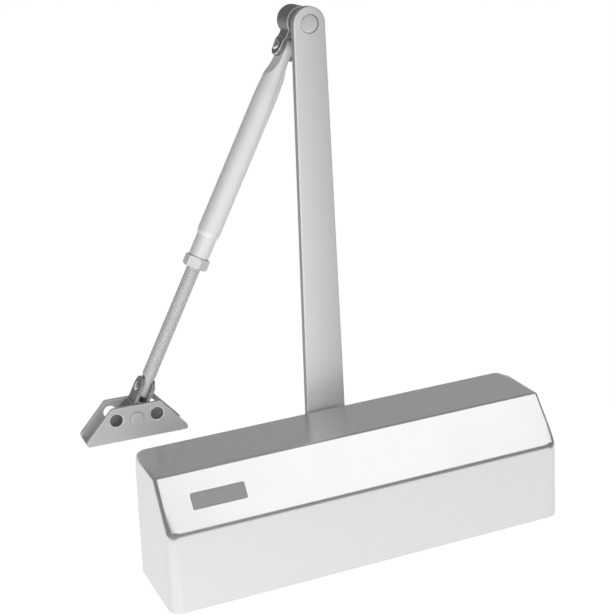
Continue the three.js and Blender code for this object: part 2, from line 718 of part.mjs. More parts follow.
function valve() {
  const bottom = AXIS_Z + BORE_R + 1.8;
  const seat = VALVE_BOSS_TOP + FIT;
  const stem = turned([
    [0, bottom], [VALVE_R * 0.5, bottom], [VALVE_R, bottom + 2], [VALVE_R, seat],
    [VALVE_HEAD_R, seat], [VALVE_HEAD_R, seat + VALVE_HEAD_H], [0, seat + VALVE_HEAD_H],
  ], 20);
  const slot = block(-6, 6, -0.6, 0.6, seat + VALVE_HEAD_H - 1.2, seat + VALVE_HEAD_H + 2);
  return solidOf(stem).subtract(slot);
}

// ---- Main arm and elbow, in a frame on the pinion axis with Z along the arm ----

function armOutline() {
  const shape = new THREE.Shape();
  const edge = ARM_EDGE_R;
  const hub = ARM_HUB_HALF_WIDTH - edge;
  const end = ARM_ELBOW_HALF_WIDTH - edge;
  shape.moveTo(hub, 0);
  shape.lineTo(end, ARM_LENGTH);
  shape.absarc(0, ARM_LENGTH, end, 0, Math.PI, false);
  shape.lineTo(-hub, 0);
  shape.absarc(0, 0, hub, Math.PI, TAU, false);
  return shape;
}

function mainArm() {
  const bar = new THREE.ExtrudeGeometry(armOutline(), {
    depth: ARM_THICKNESS - 2 * ARM_EDGE_R,
    bevelThickness: ARM_EDGE_R,
    bevelSize: ARM_EDGE_R,
    bevelSegments: 2,
    curveSegments: 16,
  });
  bar.rotateX(Math.PI / 2).translate(0, ARM_BACK - ARM_EDGE_R, 0);
  const half = SQUARE_SIZE / 2 + FIT;
  const square = block(-half, half, ARM_FRONT - 3, ARM_BACK + 3, -half, half);
  const hole = rodY(ELBOW_RIVET_R + FIT, ARM_FRONT - 3, ARM_BACK + 3, 28);
  const sink = rodY(ELBOW_HEAD_R + FIT, ARM_FRONT - 3, ARM_FRONT + ELBOW_HEAD_DEPTH, 28);
  return solidOf(bar)
    .subtract(square)
    .subtract(hole.translate([0, 0, ARM_LENGTH]))
    .subtract(sink.translate([0, 0, ARM_LENGTH]));
}

function armWasher() {
  const start = ARM_BACK + FIT;
  const inner = ARM_SCREW_R + 0.3;
  return alongY(turned([
    [inner, start], [ARM_WASHER_R, start], [ARM_WASHER_R, start + ARM_WASHER_H],
    [inner, start + ARM_WASHER_H], [inner, start],
  ], 28));
}

function armScrew() {
  const seat = ARM_BACK + ARM_WASHER_H + 2 * FIT;
  const top = seat + ARM_SCREW_HEAD_H;
  const screw = solidOf(alongY(turned([
    [0, ARM_BACK - ARM_SCREW_LENGTH + 2],
    [ARM_SCREW_R, ARM_BACK - ARM_SCREW_LENGTH + 2],
    [ARM_SCREW_R, seat],
    [ARM_SCREW_HEAD_R, seat],
    [ARM_SCREW_HEAD_R, seat + ARM_SCREW_HEAD_H / 2],
    [ARM_SCREW_HEAD_R * 0.65, top],
    [0, top],
  ], 28)));
  const socket = solidOf(plateXZ(hexagon(4), top - 1.8, top + 2));
  return screw.subtract(socket);
}

function elbowRivet() {
  const front = ARM_FRONT + ELBOW_HEAD_SUNK;
  const far = KNUCKLE_START + KNUCKLE_LENGTH + FIT;
  return alongY(turned([
    [0, front],
    [ELBOW_HEAD_R - 0.5, front],
    [ELBOW_HEAD_R, front + 0.4],
    [ELBOW_HEAD_R, ARM_FRONT + ELBOW_HEAD_DEPTH - FIT],
    [ELBOW_RIVET_R, ARM_FRONT + ELBOW_HEAD_DEPTH - FIT],
    [ELBOW_RIVET_R, far],
    [ELBOW_FAR_HEAD_R, far],
    [ELBOW_FAR_HEAD_R, far + ELBOW_FAR_HEAD_H * 0.5],
    [ELBOW_FAR_HEAD_R * 0.6, far + ELBOW_FAR_HEAD_H],
    [0, far + ELBOW_FAR_HEAD_H],
  ], 28));
}

function elbowWasher() {
  const start = ARM_BACK + FIT;
  const inner = ELBOW_RIVET_R + FIT;
  return alongY(turned([
    [inner, start], [ELBOW_WASHER_R, start], [ELBOW_WASHER_R, start + ELBOW_WASHER_H],
    [inner, start + ELBOW_WASHER_H], [inner, start],
  ], 28));
}

// ---- Elbow knuckle and forearm, in a frame on the elbow pin with the forearm along -Z ----

function knuckle() {
  const front = -FORK_HALF_DEPTH - KNUCKLE_LIP;
  const back = front + KNUCKLE_LENGTH;
  const head = solidOf(alongY(turned([
    [0, front], [KNUCKLE_R - 0.8, front], [KNUCKLE_R, front + 0.8],
    [KNUCKLE_R, back - 0.8], [KNUCKLE_R - 0.8, back], [0, back],
  ], 36)));
  const w = FORK_HALF_WIDTH;
  const neckEnd = -CROSS_PIN_S + FORK_THROAT - 1;
  const neck = solidOf(plateXZ(polygon([
    [-NECK_HALF_WIDTH, 0],
    [-NECK_HALF_WIDTH, neckEnd],
    [-w, neckEnd - 3],
    [-w, -CROSS_PIN_S],
    [w, -CROSS_PIN_S],
    [w, neckEnd - 3],
    [NECK_HALF_WIDTH, neckEnd],
    [NECK_HALF_WIDTH, 0],
  ]), -FORK_HALF_DEPTH, FORK_HALF_DEPTH));
  const ears = rodX(FORK_R, -w, w, 28).translate([0, 0, -CROSS_PIN_S]);
  const slot = block(
    -FORK_HALF_SLOT, FORK_HALF_SLOT, -20, 20, -CROSS_PIN_S - 20, -CROSS_PIN_S + FORK_THROAT,
  );
  return head
    .add(neck)
    .add(ears)
    .subtract(slot)
    .subtract(rodY(ELBOW_RIVET_R + FIT, front - 2, back + 2, 24))
    .subtract(rodX(CROSS_PIN_R + FIT, -20, 20, 20).translate([0, 0, -CROSS_PIN_S]));
}

function crossPin() {
  const seat = FORK_HALF_WIDTH + FIT;
  const end = seat + CROSS_PIN_HEAD_H;
  return alongX(turned([
    [0, -end],
    [CROSS_PIN_HEAD_R * 0.7, -end],
    [CROSS_PIN_HEAD_R, -seat - CROSS_PIN_HEAD_H * 0.4],
    [CROSS_PIN_HEAD_R, -seat],
    [CROSS_PIN_R, -seat],
    [CROSS_PIN_R, seat],
    [CROSS_PIN_HEAD_R, seat],
    [CROSS_PIN_HEAD_R, seat + CROSS_PIN_HEAD_H * 0.4],
    [CROSS_PIN_HEAD_R * 0.7, end],
    [0, end],
  ], 24)).translate(0, 0, -CROSS_PIN_S);
}

// The tube from the side on which it is flattened: two flat faces at the tongue, each running out in a
// hollow of one radius until it passes the round of the tube.
function flattenedEnd() {
  const start = CROSS_PIN_S + FORK_R + SHOULDER_GAP;
  const rise = TUBE_R + 0.2 - TONGUE_HALF_THICKNESS;
  const turn = Math.acos(1 - rise / SCOOP_R);
  const side = [[TONGUE_HALF_THICKNESS, 0]];
  for (let i = 0; i <= 8; i += 1) {
    const t = turn * i / 8;
    side.push([
      TONGUE_HALF_THICKNESS + SCOOP_R * (1 - Math.cos(t)),
      -start - SCOOP_R * Math.sin(t),
    ]);
  }
  side.push([TUBE_R + 0.2, -TUBE_END_S - 1]);
  return polygon([...side, ...side.map(([x, z]) => [-x, z]).reverse()]);
}

function forearmTube() {
  const tube = solidOf(turned([
    [0, -TUBE_END_S],
    [TUBE_END_R, -TUBE_END_S],
    [TUBE_END_R, -TUBE_SWAGE_S - TUBE_SWAGE_LENGTH],
    [TUBE_R, -TUBE_SWAGE_S],
    [TUBE_R, -TUBE_FULL_S],
    [TUBE_SHOULDER_R, -TUBE_SHOULDER_S],
    [TUBE_NECK_R, -TUBE_NECK_S],
    [TUBE_NECK_R, -CROSS_PIN_S],
    [0, -CROSS_PIN_S],
  ], 32));
  const atPin = [0, 0, -CROSS_PIN_S];
  const eye = rodX(TONGUE_R, -TONGUE_HALF_THICKNESS, TONGUE_HALF_THICKNESS, 28).translate(atPin);
  return tube
    .intersect(solidOf(plateXZ(flattenedEnd(), -20, 20)))
    .add(eye)
    .subtract(rodX(CROSS_PIN_R + FIT, -20, 20, 20).translate(atPin))
    .subtract(rodZ(TUBE_BORE_R, -TUBE_END_S - 2, -TUBE_BORE_S, 24));
}

function lockNut() {
  const start = -TUBE_END_S - FIT;
  const shape = hexagon(NUT_ACROSS_FLATS);
  shape.holes.push(circle(TUBE_BORE_R));
  const body = new THREE.ExtrudeGeometry(shape, {
    depth: NUT_HEIGHT, bevelEnabled: false, curveSegments: 12,
  });
  const corner = NUT_ACROSS_FLATS / Math.sqrt(3);
  const chamfer = solidOf(turned([
    [0, start - NUT_HEIGHT],
    [corner - 1.1, start - NUT_HEIGHT],
    [corner, start - NUT_HEIGHT + 0.7],
    [corner, start - 0.7],
    [corner - 1.1, start],
    [0, start],
  ], 24));
  return solidOf(body.translate(0, 0, start - NUT_HEIGHT)).intersect(chamfer);
}

function threadedRod() {
  const end = ROD_PIN_S + ROD_PAST_PIN;
  const body = solidOf(turned([
    [0, -end],
    [ROD_R - 1.6, -end],
    [ROD_R, -end + 1.6],
    [ROD_R, -ROD_START_S - 1],
    [ROD_R - 1, -ROD_START_S],
    [0, -ROD_START_S],
  ], 28));
  const shoulder = -ROD_PIN_S + ROD_FLAT_LENGTH;
  const blank = polygon([
    [-ROD_HALF_FLAT, -end - 1],
    [ROD_HALF_FLAT, -end - 1],
    [ROD_HALF_FLAT, shoulder],
    [ROD_R + 0.5, shoulder + 3],
    [ROD_R + 0.5, 0],
    [-ROD_R - 0.5, 0],
    [-ROD_R - 0.5, shoulder + 3],
    [-ROD_HALF_FLAT, shoulder],
  ]);
  const rounded = rodX(ROD_PAST_PIN, -20, 20, 28).add(block(-20, 20, -20, 20, 0, ROD_PIN_S));
  return body
    .intersect(solidOf(plateXZ(blank, -20, 20)))
    .intersect(rounded.translate([0, 0, -ROD_PIN_S]))
    .subtract(rodX(ROD_PIN_R + FIT, -20, 20, 16).translate([0, 0, -ROD_PIN_S]));
}

const EAR_INNER = ROD_HALF_FLAT + SWIVEL_EAR_GAP;
const EAR_OUTER = EAR_INNER + SWIVEL_EAR;

function rodPin() {
  const seat = EAR_OUTER + FIT;
  return alongX(turned([
    [0, -seat - ROD_PIN_HEAD_H],
    [ROD_PIN_HEAD_R * 0.75, -seat - ROD_PIN_HEAD_H],
    [ROD_PIN_HEAD_R, -seat],
    [ROD_PIN_R, -seat],
    [ROD_PIN_R, seat],
    [ROD_PIN_HEAD_R, seat],
    [ROD_PIN_HEAD_R, seat + ROD_PIN_TAIL_H - 1],
    [ROD_PIN_HEAD_R - 1, seat + ROD_PIN_TAIL_H],
    [0, seat + ROD_PIN_TAIL_H],
  ], 20)).translate(0, 0, -ROD_PIN_S);
}

function shoeSwivel() {
  const r = SWIVEL_HALF_Y;
  const floor = ROD_PIN_S + ROD_PAST_PIN + SWIVEL_FLOOR;
  const ears = rodX(r, -EAR_OUTER, EAR_OUTER, 32).translate([0, 0, -ROD_PIN_S]);
  const cheeks = block(-EAR_OUTER, EAR_OUTER, -r, r, -SHOE_RIVET_S, -ROD_PIN_S);
  const barrel = rodY(SWIVEL_BARREL_R, -r, r, 36).translate([0, 0, -SHOE_RIVET_S]);
  const throat = block(-EAR_INNER, EAR_INNER, -r - 2, r + 2, -floor, -ROD_PIN_S + r + 2);
  return ears
    .add(cheeks)
    .add(barrel)
    .subtract(throat)
    .subtract(rodX(ROD_PIN_R + FIT, -20, 20, 20).translate([0, 0, -ROD_PIN_S]))
    .subtract(rodY(SHOE_RIVET_R + FIT, -20, 20, 24).translate([0, 0, -SHOE_RIVET_S]));
}

// ---- Shoe bracket, in a frame on its rivet with the base parallel to the door ----

function flangeOutline() {
  const low = -BRACKET_RIVET_Z;
  const high = low + BRACKET_HEIGHT;
  const upright = low + BRACKET_END_HEIGHT;
  const corners = [
    [BRACKET_HALF_BASE, low],
    [BRACKET_HALF_BASE, upright],
    [BRACKET_HALF_TOP, high],
    [-BRACKET_HALF_TOP, high],
    [-BRACKET_HALF_BASE, upright],
    [-BRACKET_HALF_BASE, low],
  ].map(([x, y]) => new THREE.Vector2(x, y));
  const shape = new THREE.Shape();
  corners.forEach((corner, i) => {
    const before = corners[(i + 5) % 6];
    const after = corners[(i + 1) % 6];
    const into = before.clone().sub(corner).normalize();
    const away = after.clone().sub(corner).normalize();
    const reach = BRACKET_CORNER_R / Math.tan(Math.acos(into.dot(away)) / 2);
    const start = corner.clone().addScaledVector(into, reach);
    const stop = corner.clone().addScaledVector(away, reach);
    if (i === 0) {
      shape.moveTo(start.x, start.y);
    } else {
      shape.lineTo(start.x, start.y);
    }
    shape.quadraticCurveTo(corner.x, corner.y, stop.x, stop.y);
  });
  shape.closePath();
  return shape;
}

function shoeBracket() {
  const half = BRACKET_WIDTH / 2;
  const t = BRACKET_SHEET;
  const low = -BRACKET_RIVET_Z;
  const outer = solidOf(plateXZ(flangeOutline(), -half, half, 5));
  const channel = polygon([
    [-half + t, low + t],
    [half - t, low + t],
    [half - t, low + BRACKET_HEIGHT + 5],
    [-half + t, low + BRACKET_HEIGHT + 5],
  ]);
  const trough = new THREE.ExtrudeGeometry(channel, { depth: 4 * BRACKET_HALF_BASE, bevelEnabled: false });
  trough.rotateX(Math.PI / 2).rotateZ(Math.PI / 2).translate(-2 * BRACKET_HALF_BASE, 0, 0);
  const section = roundedRectangle(-half, half, low, low + 3 * BRACKET_HEIGHT, t);
  const rolled = new THREE.ExtrudeGeometry(section, {
    depth: 4 * BRACKET_HALF_BASE, bevelEnabled: false, curveSegments: 4,
  });
  rolled.rotateX(Math.PI / 2).rotateZ(Math.PI / 2).translate(-2 * BRACKET_HALF_BASE, 0, 0);
  let body = outer.intersect(solidOf(rolled)).subtract(solidOf(trough));
  body = body.subtract(rodY(SHOE_RIVET_R + 0.05, -half - 2, half + 2, 24));
  for (const side of [-1, 1]) {
    const hole = rodY(BRACKET_HOLE_R, -half - 2, half + 2, 28);
    const screw = rodZ(BRACKET_SCREW_R, low - 2, low + t + 2, 20);
    body = body.subtract(hole.translate([side * BRACKET_HOLE_X, 0, BRACKET_HOLE_LIFT]));
    body = body.subtract(screw.translate([side * BRACKET_SCREW_X, 0, 0]));
  }
  return body;
}

function shoeRivet() {
  const seat = BRACKET_WIDTH / 2 + FIT;
  const end = seat + SHOE_RIVET_HEAD_H;
  return alongY(turned([
    [0, -end],
    [SHOE_RIVET_HEAD_R - 0.6, -end],
    [SHOE_RIVET_HEAD_R, -end + 0.6],
    [SHOE_RIVET_HEAD_R, -seat],
    [SHOE_RIVET_R - 0.1, -seat],
    [SHOE_RIVET_R - 0.1, seat],
    [SHOE_RIVET_HEAD_R, seat],
    [SHOE_RIVET_HEAD_R, end - 0.6],
    [SHOE_RIVET_HEAD_R - 0.6, end],
    [0, end],
  ], 24));
}

// ---- The whole closer ----

const closer = new THREE.Group();

piece(closer, 'cover', cover(), SILVER_PAINT);
piece(closer, 'badge_plate', badgePlate(), BADGE_GREY);
piece(closer, 'cover_screw_spring', alongY(coverScrew()), ZINC).position.set(-COVER_SCREW_X, 0, AXIS_Z);
piece(closer, 'cover_screw_valve', alongY(coverScrew()), ZINC).position.set(COVER_SCREW_X, 0, AXIS_Z);

// Everything on the bore and pinion axes is built about those axes.
const works = new THREE.Group();
works.position.z = AXIS_Z;
closer.add(works);

piece(works, 'housing', housing(), CAST);

const springPlug = new THREE.Group();
springPlug.position.x = -HOUSING_SPRING_END + PLUG_LENGTH - 0.6;
springPlug.rotation.z = Math.PI;
works.add(springPlug);
piece(springPlug, 'end_plug_spring', endPlug(ADJUSTER_R + FIT), STEEL);
piece(springPlug, 'plug_seal_spring', plugSeal(), RUBBER);

const valvePlug = new THREE.Group();
valvePlug.position.x = HOUSING_VALVE_END - PLUG_LENGTH + 0.6;
works.add(valvePlug);
piece(valvePlug, 'end_plug_valve', endPlug(0), STEEL);
piece(valvePlug, 'plug_seal_valve', plugSeal(), RUBBER);

piece(works, 'bearing_arm_side', bearing(), BRONZE);
piece(works, 'bearing_blank_side', bearing(), BRONZE).rotation.z = Math.PI;
piece(works, 'seal_nut', sealNut(), ZINC);
piece(works, 'shaft_seal', shaftSeal(), RUBBER);
piece(works, 'bottom_nut', bottomNut(), ZINC).rotation.z = Math.PI;

piece(works, 'pinion', pinion(), STEEL);
piece(works, 'piston', piston(), STEEL);
piece(works, 'check_valve', checkValve(), BRONZE);
piece(works, 'main_spring', mainSpring(), SPRING_STEEL);
piece(works, 'spring_seat', springSeat(), STEEL);

function adjusterScrew() {
  const plugOuter = HOUSING_SPRING_END + 0.6 + PLUG_BOSS_H;
  const seat = plugOuter + FIT;
  const inner = -(SPRING_END - SEAT_THICKNESS - 3) + FIT;
  const shank = solidOf(alongX(turned([
    [0, -seat - ADJUSTER_HEAD_H], [ADJUSTER_HEAD_R, -seat - ADJUSTER_HEAD_H], [ADJUSTER_HEAD_R, -seat],
    [ADJUSTER_R, -seat], [ADJUSTER_R, -inner], [0, -inner],
  ], 28)));
  const socket = alongX(new THREE.ExtrudeGeometry(hexagon(6), { depth: 12, bevelEnabled: false }));
  return shank.subtract(solidOf(socket.translate(-seat - ADJUSTER_HEAD_H - 9.5, 0, 0)));
}

piece(works, 'spring_adjuster', adjusterScrew(), ZINC);

for (const [name, x] of Object.entries(VALVE_POSITIONS)) {
  piece(closer, name, valve(), BRONZE).position.x = x;
}

const arm = new THREE.Group();
arm.rotation.y = ARM_LEAN;
works.add(arm);
piece(arm, 'main_arm', mainArm(), SILVER_PAINT);
piece(arm, 'arm_washer', armWasher(), ZINC);
piece(arm, 'arm_screw', armScrew(), ZINC);
piece(arm, 'elbow_rivet', elbowRivet(), BRUSHED).position.z = ARM_LENGTH;
piece(arm, 'elbow_washer', elbowWasher(), ZINC).position.z = ARM_LENGTH;

const forearm = new THREE.Group();
forearm.position.set(ELBOW_X, FOREARM_Y, ELBOW_Z);
forearm.rotation.y = FOREARM_LEAN;
closer.add(forearm);
piece(forearm, 'knuckle', knuckle(), CAST);
piece(forearm, 'elbow_cross_pin', crossPin(), ZINC);
piece(forearm, 'forearm_tube', forearmTube(), SILVER_PAINT);
piece(forearm, 'lock_nut', lockNut(), ZINC);
piece(forearm, 'threaded_rod', threadedRod(), ZINC);
piece(forearm, 'rod_pin', rodPin(), ZINC);
piece(forearm, 'shoe_swivel', shoeSwivel(), SILVER_PAINT);

const shoe = new THREE.Group();
shoe.position.set(RIVET_X, FOREARM_Y, RIVET_Z);
shoe.rotation.y = BRACKET_LEAN;
closer.add(shoe);
piece(shoe, 'shoe_bracket', shoeBracket(), SILVER_PAINT);
piece(shoe, 'shoe_rivet', shoeRivet(), BRUSHED);

export default closer;
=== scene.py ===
import json
import math

import bmesh
import bpy
import numpy as np
from mathutils import Matrix, Vector


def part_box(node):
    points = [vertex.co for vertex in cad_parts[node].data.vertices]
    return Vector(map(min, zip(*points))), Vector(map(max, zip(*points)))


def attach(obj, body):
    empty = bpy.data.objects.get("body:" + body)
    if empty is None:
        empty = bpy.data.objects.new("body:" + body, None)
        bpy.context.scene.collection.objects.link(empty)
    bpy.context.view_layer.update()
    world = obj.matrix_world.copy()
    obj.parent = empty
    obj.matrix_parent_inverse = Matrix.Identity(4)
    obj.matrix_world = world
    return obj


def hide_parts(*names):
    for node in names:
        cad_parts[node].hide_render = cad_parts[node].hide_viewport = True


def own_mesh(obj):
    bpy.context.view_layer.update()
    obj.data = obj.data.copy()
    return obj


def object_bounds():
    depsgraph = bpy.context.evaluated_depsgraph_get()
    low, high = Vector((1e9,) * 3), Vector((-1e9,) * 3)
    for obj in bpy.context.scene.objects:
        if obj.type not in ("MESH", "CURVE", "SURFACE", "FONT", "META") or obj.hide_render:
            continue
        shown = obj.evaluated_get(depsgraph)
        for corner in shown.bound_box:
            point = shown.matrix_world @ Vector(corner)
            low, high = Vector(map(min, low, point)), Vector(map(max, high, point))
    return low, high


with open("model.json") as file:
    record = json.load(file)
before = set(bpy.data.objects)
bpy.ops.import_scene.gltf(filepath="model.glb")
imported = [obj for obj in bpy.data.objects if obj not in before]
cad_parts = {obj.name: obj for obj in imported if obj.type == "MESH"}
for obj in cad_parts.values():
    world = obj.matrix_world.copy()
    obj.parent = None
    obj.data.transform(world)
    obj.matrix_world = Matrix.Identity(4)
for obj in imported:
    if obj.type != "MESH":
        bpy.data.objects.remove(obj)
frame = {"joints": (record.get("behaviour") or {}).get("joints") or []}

# The closer lies on its mounting face: Z is the way out from the door, X runs from the spring end to
# the valve end, and the arm stands on the far long side. Sizes are in millimetres and MM turns them
# into metres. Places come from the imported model.
MM = 0.001
CAD_LOW, CAD_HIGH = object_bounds()


# ---- Viewpoint, floor and lamps ----
# A long lens stands in front of the spring end and looks slightly down. The floor is a pale sheet that
# reads as white and keeps a faint shadow, and broad soft lamps stand on the blank side of the closer.

LENS = 81.88
SENSOR = 36.0
VIEW_AZIMUTH = math.radians(-21.83)
VIEW_HEIGHT = math.radians(18.71)
VIEW_ROLL = math.radians(-3.41)
VIEW_PLACE = Vector((-343.01, -793.29, 462.78)) * MM


def standing(name, data):
    """Puts camera, lamp or mesh data into the scene as an object."""
    made = bpy.data.objects.new(name, data)
    bpy.context.scene.collection.objects.link(made)
    return made


lens = bpy.data.cameras.new("viewpoint")
lens.sensor_width = SENSOR
lens.lens = LENS
lens.clip_start = 0.01
lens.clip_end = 100
camera = standing("viewpoint", lens)
camera.matrix_world = (
    Matrix.Translation(VIEW_PLACE)
    @ Matrix.Rotation(VIEW_AZIMUTH, 4, "Z")
    @ Matrix.Rotation(math.pi / 2 - VIEW_HEIGHT, 4, "X")
    @ Matrix.Rotation(VIEW_ROLL, 4, "Z")
)
bpy.context.scene.camera = camera


class Value:
    """A socket in a finish. Arithmetic on one that carries a number adds Math nodes."""

    def __init__(self, finish, socket):
        self.finish = finish
        self.socket = socket

    def math(self, operation, first, second):
        return self.finish.node("ShaderNodeMath", {"operation": operation}, {0: first, 1: second})

    def __add__(self, other):
        return self.math("ADD", self, other)

    def __sub__(self, other):
        return self.math("SUBTRACT", self, other)

    def __rsub__(self, other):
        return self.math("SUBTRACT", other, self)

    def __mul__(self, other):
        return self.math("MULTIPLY", self, other)

    def at_least(self, other):
        return self.math("MAXIMUM", self, other)


class Finish:
    """A surface finish, or another tree of nodes, to which node() adds whatever it needs."""

    def __init__(self, owner, tree=None):
        if tree is None:
            owner.use_nodes = True
            tree = owner.node_tree
        self.owner = owner
        self.tree = tree
        self.tree.nodes.clear()

    def node(self, kind, settings=None, values=None, output=0):
        made = self.tree.nodes.new(kind)
        for name, setting in (settings or {}).items():
            if name == "stops":
                stops = made.color_ramp.elements
                while len(stops) < len(setting):
                    stops.new(0.5)
                for stop, (place, grey) in zip(stops, setting):
                    stop.position = place
                    stop.color = (grey, grey, grey, 1)
            else:
                setattr(made, name, setting)
        for name, value in (values or {}).items():
            if isinstance(value, Value):
                self.tree.links.new(value.socket, made.inputs[name])
            else:
                made.inputs[name].default_value = value
        return Value(self, made.outputs[output]) if len(made.outputs) else None


def white_background(finish, surface, seen):
    """Shows `seen` to the camera, to gloss and through glass, and `surface` to all other light."""
    straight, gloss, through = [
        finish.node("ShaderNodeLightPath", output=ray)
        for ray in ("Is Camera Ray", "Is Glossy Ray", "Is Transmission Ray")
    ]
    watched = straight.at_least(gloss).at_least(through)
    return finish.node("ShaderNodeMixShader", values={0: watched, 1: surface, 2: seen})


FLOOR_RADIUS = 12.0
FLOOR_DROP = 0.64                   # clear of the arms, which swing down past the closer's foot
FLOOR_TONE = 0.82
FLOOR_SHADOW = 0.30
FLOOR_GLOW = 0.93


def studio_floor():
    """A wide round sheet, far enough below the closer for its arms to swing down past its foot."""
    shape = bmesh.new()
    bmesh.ops.create_circle(shape, cap_ends=True, segments=96, radius=FLOOR_RADIUS)
    mesh = bpy.data.meshes.new("studio_floor")
    shape.to_mesh(mesh)
    shape.free()
    floor = standing("studio_floor", mesh)
    floor.location = (0, 0, CAD_LOW.z - FLOOR_DROP)
    finish = Finish(bpy.data.materials.new("studio_floor"))
    mottle = finish.node("ShaderNodeTexNoise", values={"Scale": 3.0, "Detail": 2.0})
    stops = [(0.3, FLOOR_TONE - 0.01), (0.7, FLOOR_TONE)]
    tone = finish.node("ShaderNodeValToRGB", {"stops": stops}, {"Fac": mottle})
    matt = finish.node("ShaderNodeBsdfDiffuse", values={"Color": tone})
    keeps_shadow = finish.node("ShaderNodeBsdfDiffuse", values={"Color": (FLOOR_SHADOW,) * 3 + (1,)})
    glow = finish.node("ShaderNodeEmission", values={"Strength": FLOOR_GLOW})
    seen = finish.node("ShaderNodeAddShader", values={0: keeps_shadow, 1: glow})
    finish.node("ShaderNodeOutputMaterial", values={"Surface": white_background(finish, matt, seen)})
    mesh.materials.append(finish.owner)


studio_floor()

# Gloss sees the room grow dark overhead, on the open side and past both ends. Each ramp's stops are
# (how far the ray points that way, share of light).
ROOM_LIGHT = 0.30
ROOM_CEILING = 0.42
ROOM_OVERHEAD = 0.22
ROOM_OPEN_SIDE = 0.20               # the side from which the closer is seen
ROOM_ENDS = 0.25

bpy.context.scene.world = bpy.data.worlds.new("studio")
room = Finish(bpy.context.scene.world)
toward = room.node("ShaderNodeTexCoord", output="Generated")
along, depth, height = [
    room.node("ShaderNodeSeparateXYZ", values={"Vector": toward}, output=way) for way in "XYZ"
]


def fading(place, *stops):
    return room.node("ShaderNodeValToRGB", {"stops": stops}, {"Fac": place})


ceiling = fading(height, (0.0, 1.0), (0.12, 0.65), (0.28, ROOM_CEILING), (0.75, ROOM_OVERHEAD))
open_side = fading(0.0 - depth, (0.3, 1.0), (0.6, ROOM_OPEN_SIDE))
spring_end = fading(0.0 - along, (0.1, 1.0), (0.45, ROOM_ENDS))
valve_end = fading(along, (0.6, 1.0), (0.85, ROOM_ENDS))
mirrored = ceiling * open_side * spring_end * valve_end
plain = room.node("ShaderNodeBackground", values={"Strength": ROOM_LIGHT})
seen = room.node("ShaderNodeMixShader", values={
    0: room.node("ShaderNodeLightPath", output="Is Glossy Ray"),
    1: room.node("ShaderNodeBackground", values={"Color": (1, 1, 1, 1)}),
    2: room.node("ShaderNodeBackground", values={"Color": mirrored}),
})
room.node("ShaderNodeOutputWorld", values={"Surface": white_background(room, plain, seen)})


def softbox(name, place, aim, wide, tall, watts, in_gloss=True):
    """A flat rectangular lamp at `place` that faces `aim`, all in metres. Gloss may pass over it."""
    data = bpy.data.lights.new(name, "AREA")
    data.shape = "RECTANGLE"
    data.size = wide
    data.size_y = tall
    data.energy = watts
    lamp = standing(name, data)
    lamp.location = place
    lamp.rotation_euler = (Vector(aim) - Vector(place)).to_track_quat("-Z", "Y").to_euler()
    lamp.visible_glossy = in_gloss


softbox("side_lamp", (-0.78, -1.05, 0.18), (0, 0, 0.12), wide=1.8, tall=1.3, watts=22, in_gloss=False)
softbox("bevel_lamp", (0.55, -0.82, 1.25), (0, 0, 0.05), wide=1.1, tall=1.0, watts=5.2)

bpy.context.scene.view_settings.view_transform = "Standard"


# ---- Cover ----
# A one-piece moulded cover in silver paint, with one long bevel and an open back. Its walls lean in a
# little so that it leaves the mould, and two screws through the arm side hold it to the housing.

COVER_WALL = 2.4
COVER_BEVEL_Z = 54.0                # top of the blank side, where the bevel starts
COVER_BEVEL_Y = 24.4                # width that the bevel takes off the front face
COVER_CORNER_R = 9.0                # upright corners at the door
COVER_CORNER_TOP_R = 3.0            # and at the front face, on the blank side
COVER_EDGE_R = 1.2                  # long edges
COVER_END_R = 2.6                   # edges round the two ends
COVER_END_REACH = 9.0               # where the long edges start to grow into those of the ends
COVER_END_RUN = 6.0
COVER_END_DRAFT = 0.03
COVER_SIDE_DRAFT = 0.01
COVER_SHAFT_HOLE_R = 15.5
COVER_SCREW_HOLE_R = 1.75

COVER_LOW, COVER_HIGH = (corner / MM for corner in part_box("cover"))
COVER_MIDDLE = (COVER_LOW.x + COVER_HIGH.x) / 2
COVER_HALF_LENGTH = (COVER_HIGH.x - COVER_LOW.x) / 2
COVER_HALF_WIDTH = COVER_HIGH.y
COVER_DEPTH = COVER_HIGH.z


def rounded_corner(first, second, radius):
    """Distance past two faces that meet in an edge of this radius, from the distances past each."""
    first, second = first + radius, second + radius
    outside = np.hypot(np.maximum(first, 0), np.maximum(second, 0))
    return outside + np.minimum(np.maximum(first, second), 0) - radius


def past_cover(x, y, z):
    """How far each point lies outside the cover's outer skin, less than zero inside it."""
    x = COVER_MIDDLE + (x - COVER_MIDDLE) / (1 - COVER_END_DRAFT * z / COVER_HALF_LENGTH)
    y = y / (1 - COVER_SIDE_DRAFT * z / COVER_HALF_WIDTH)
    ends = np.abs(x - COVER_MIDDLE) - COVER_HALF_LENGTH
    sides = np.abs(y) - COVER_HALF_WIDTH
    narrowing = (COVER_CORNER_TOP_R - COVER_CORNER_R) * np.clip(z / COVER_DEPTH, 0, 1)
    corner = COVER_CORNER_R + np.where(y < 0, narrowing, 0)
    walls = rounded_corner(ends, sides, corner)
    bevel = math.hypot(COVER_BEVEL_Y, COVER_DEPTH - COVER_BEVEL_Z)
    lift, lean = COVER_BEVEL_Y / bevel, (COVER_DEPTH - COVER_BEVEL_Z) / bevel
    sloped = (z - COVER_BEVEL_Z) * lift - (y + COVER_HALF_WIDTH) * lean
    face = rounded_corner(z - COVER_DEPTH, sloped, COVER_EDGE_R)
    near_end = np.clip((ends + COVER_END_REACH) / COVER_END_RUN, 0, 1)
    edge = COVER_EDGE_R + (COVER_END_R - COVER_EDGE_R) * near_end * near_end * (3 - 2 * near_end)
    return rounded_corner(walls, face, edge)


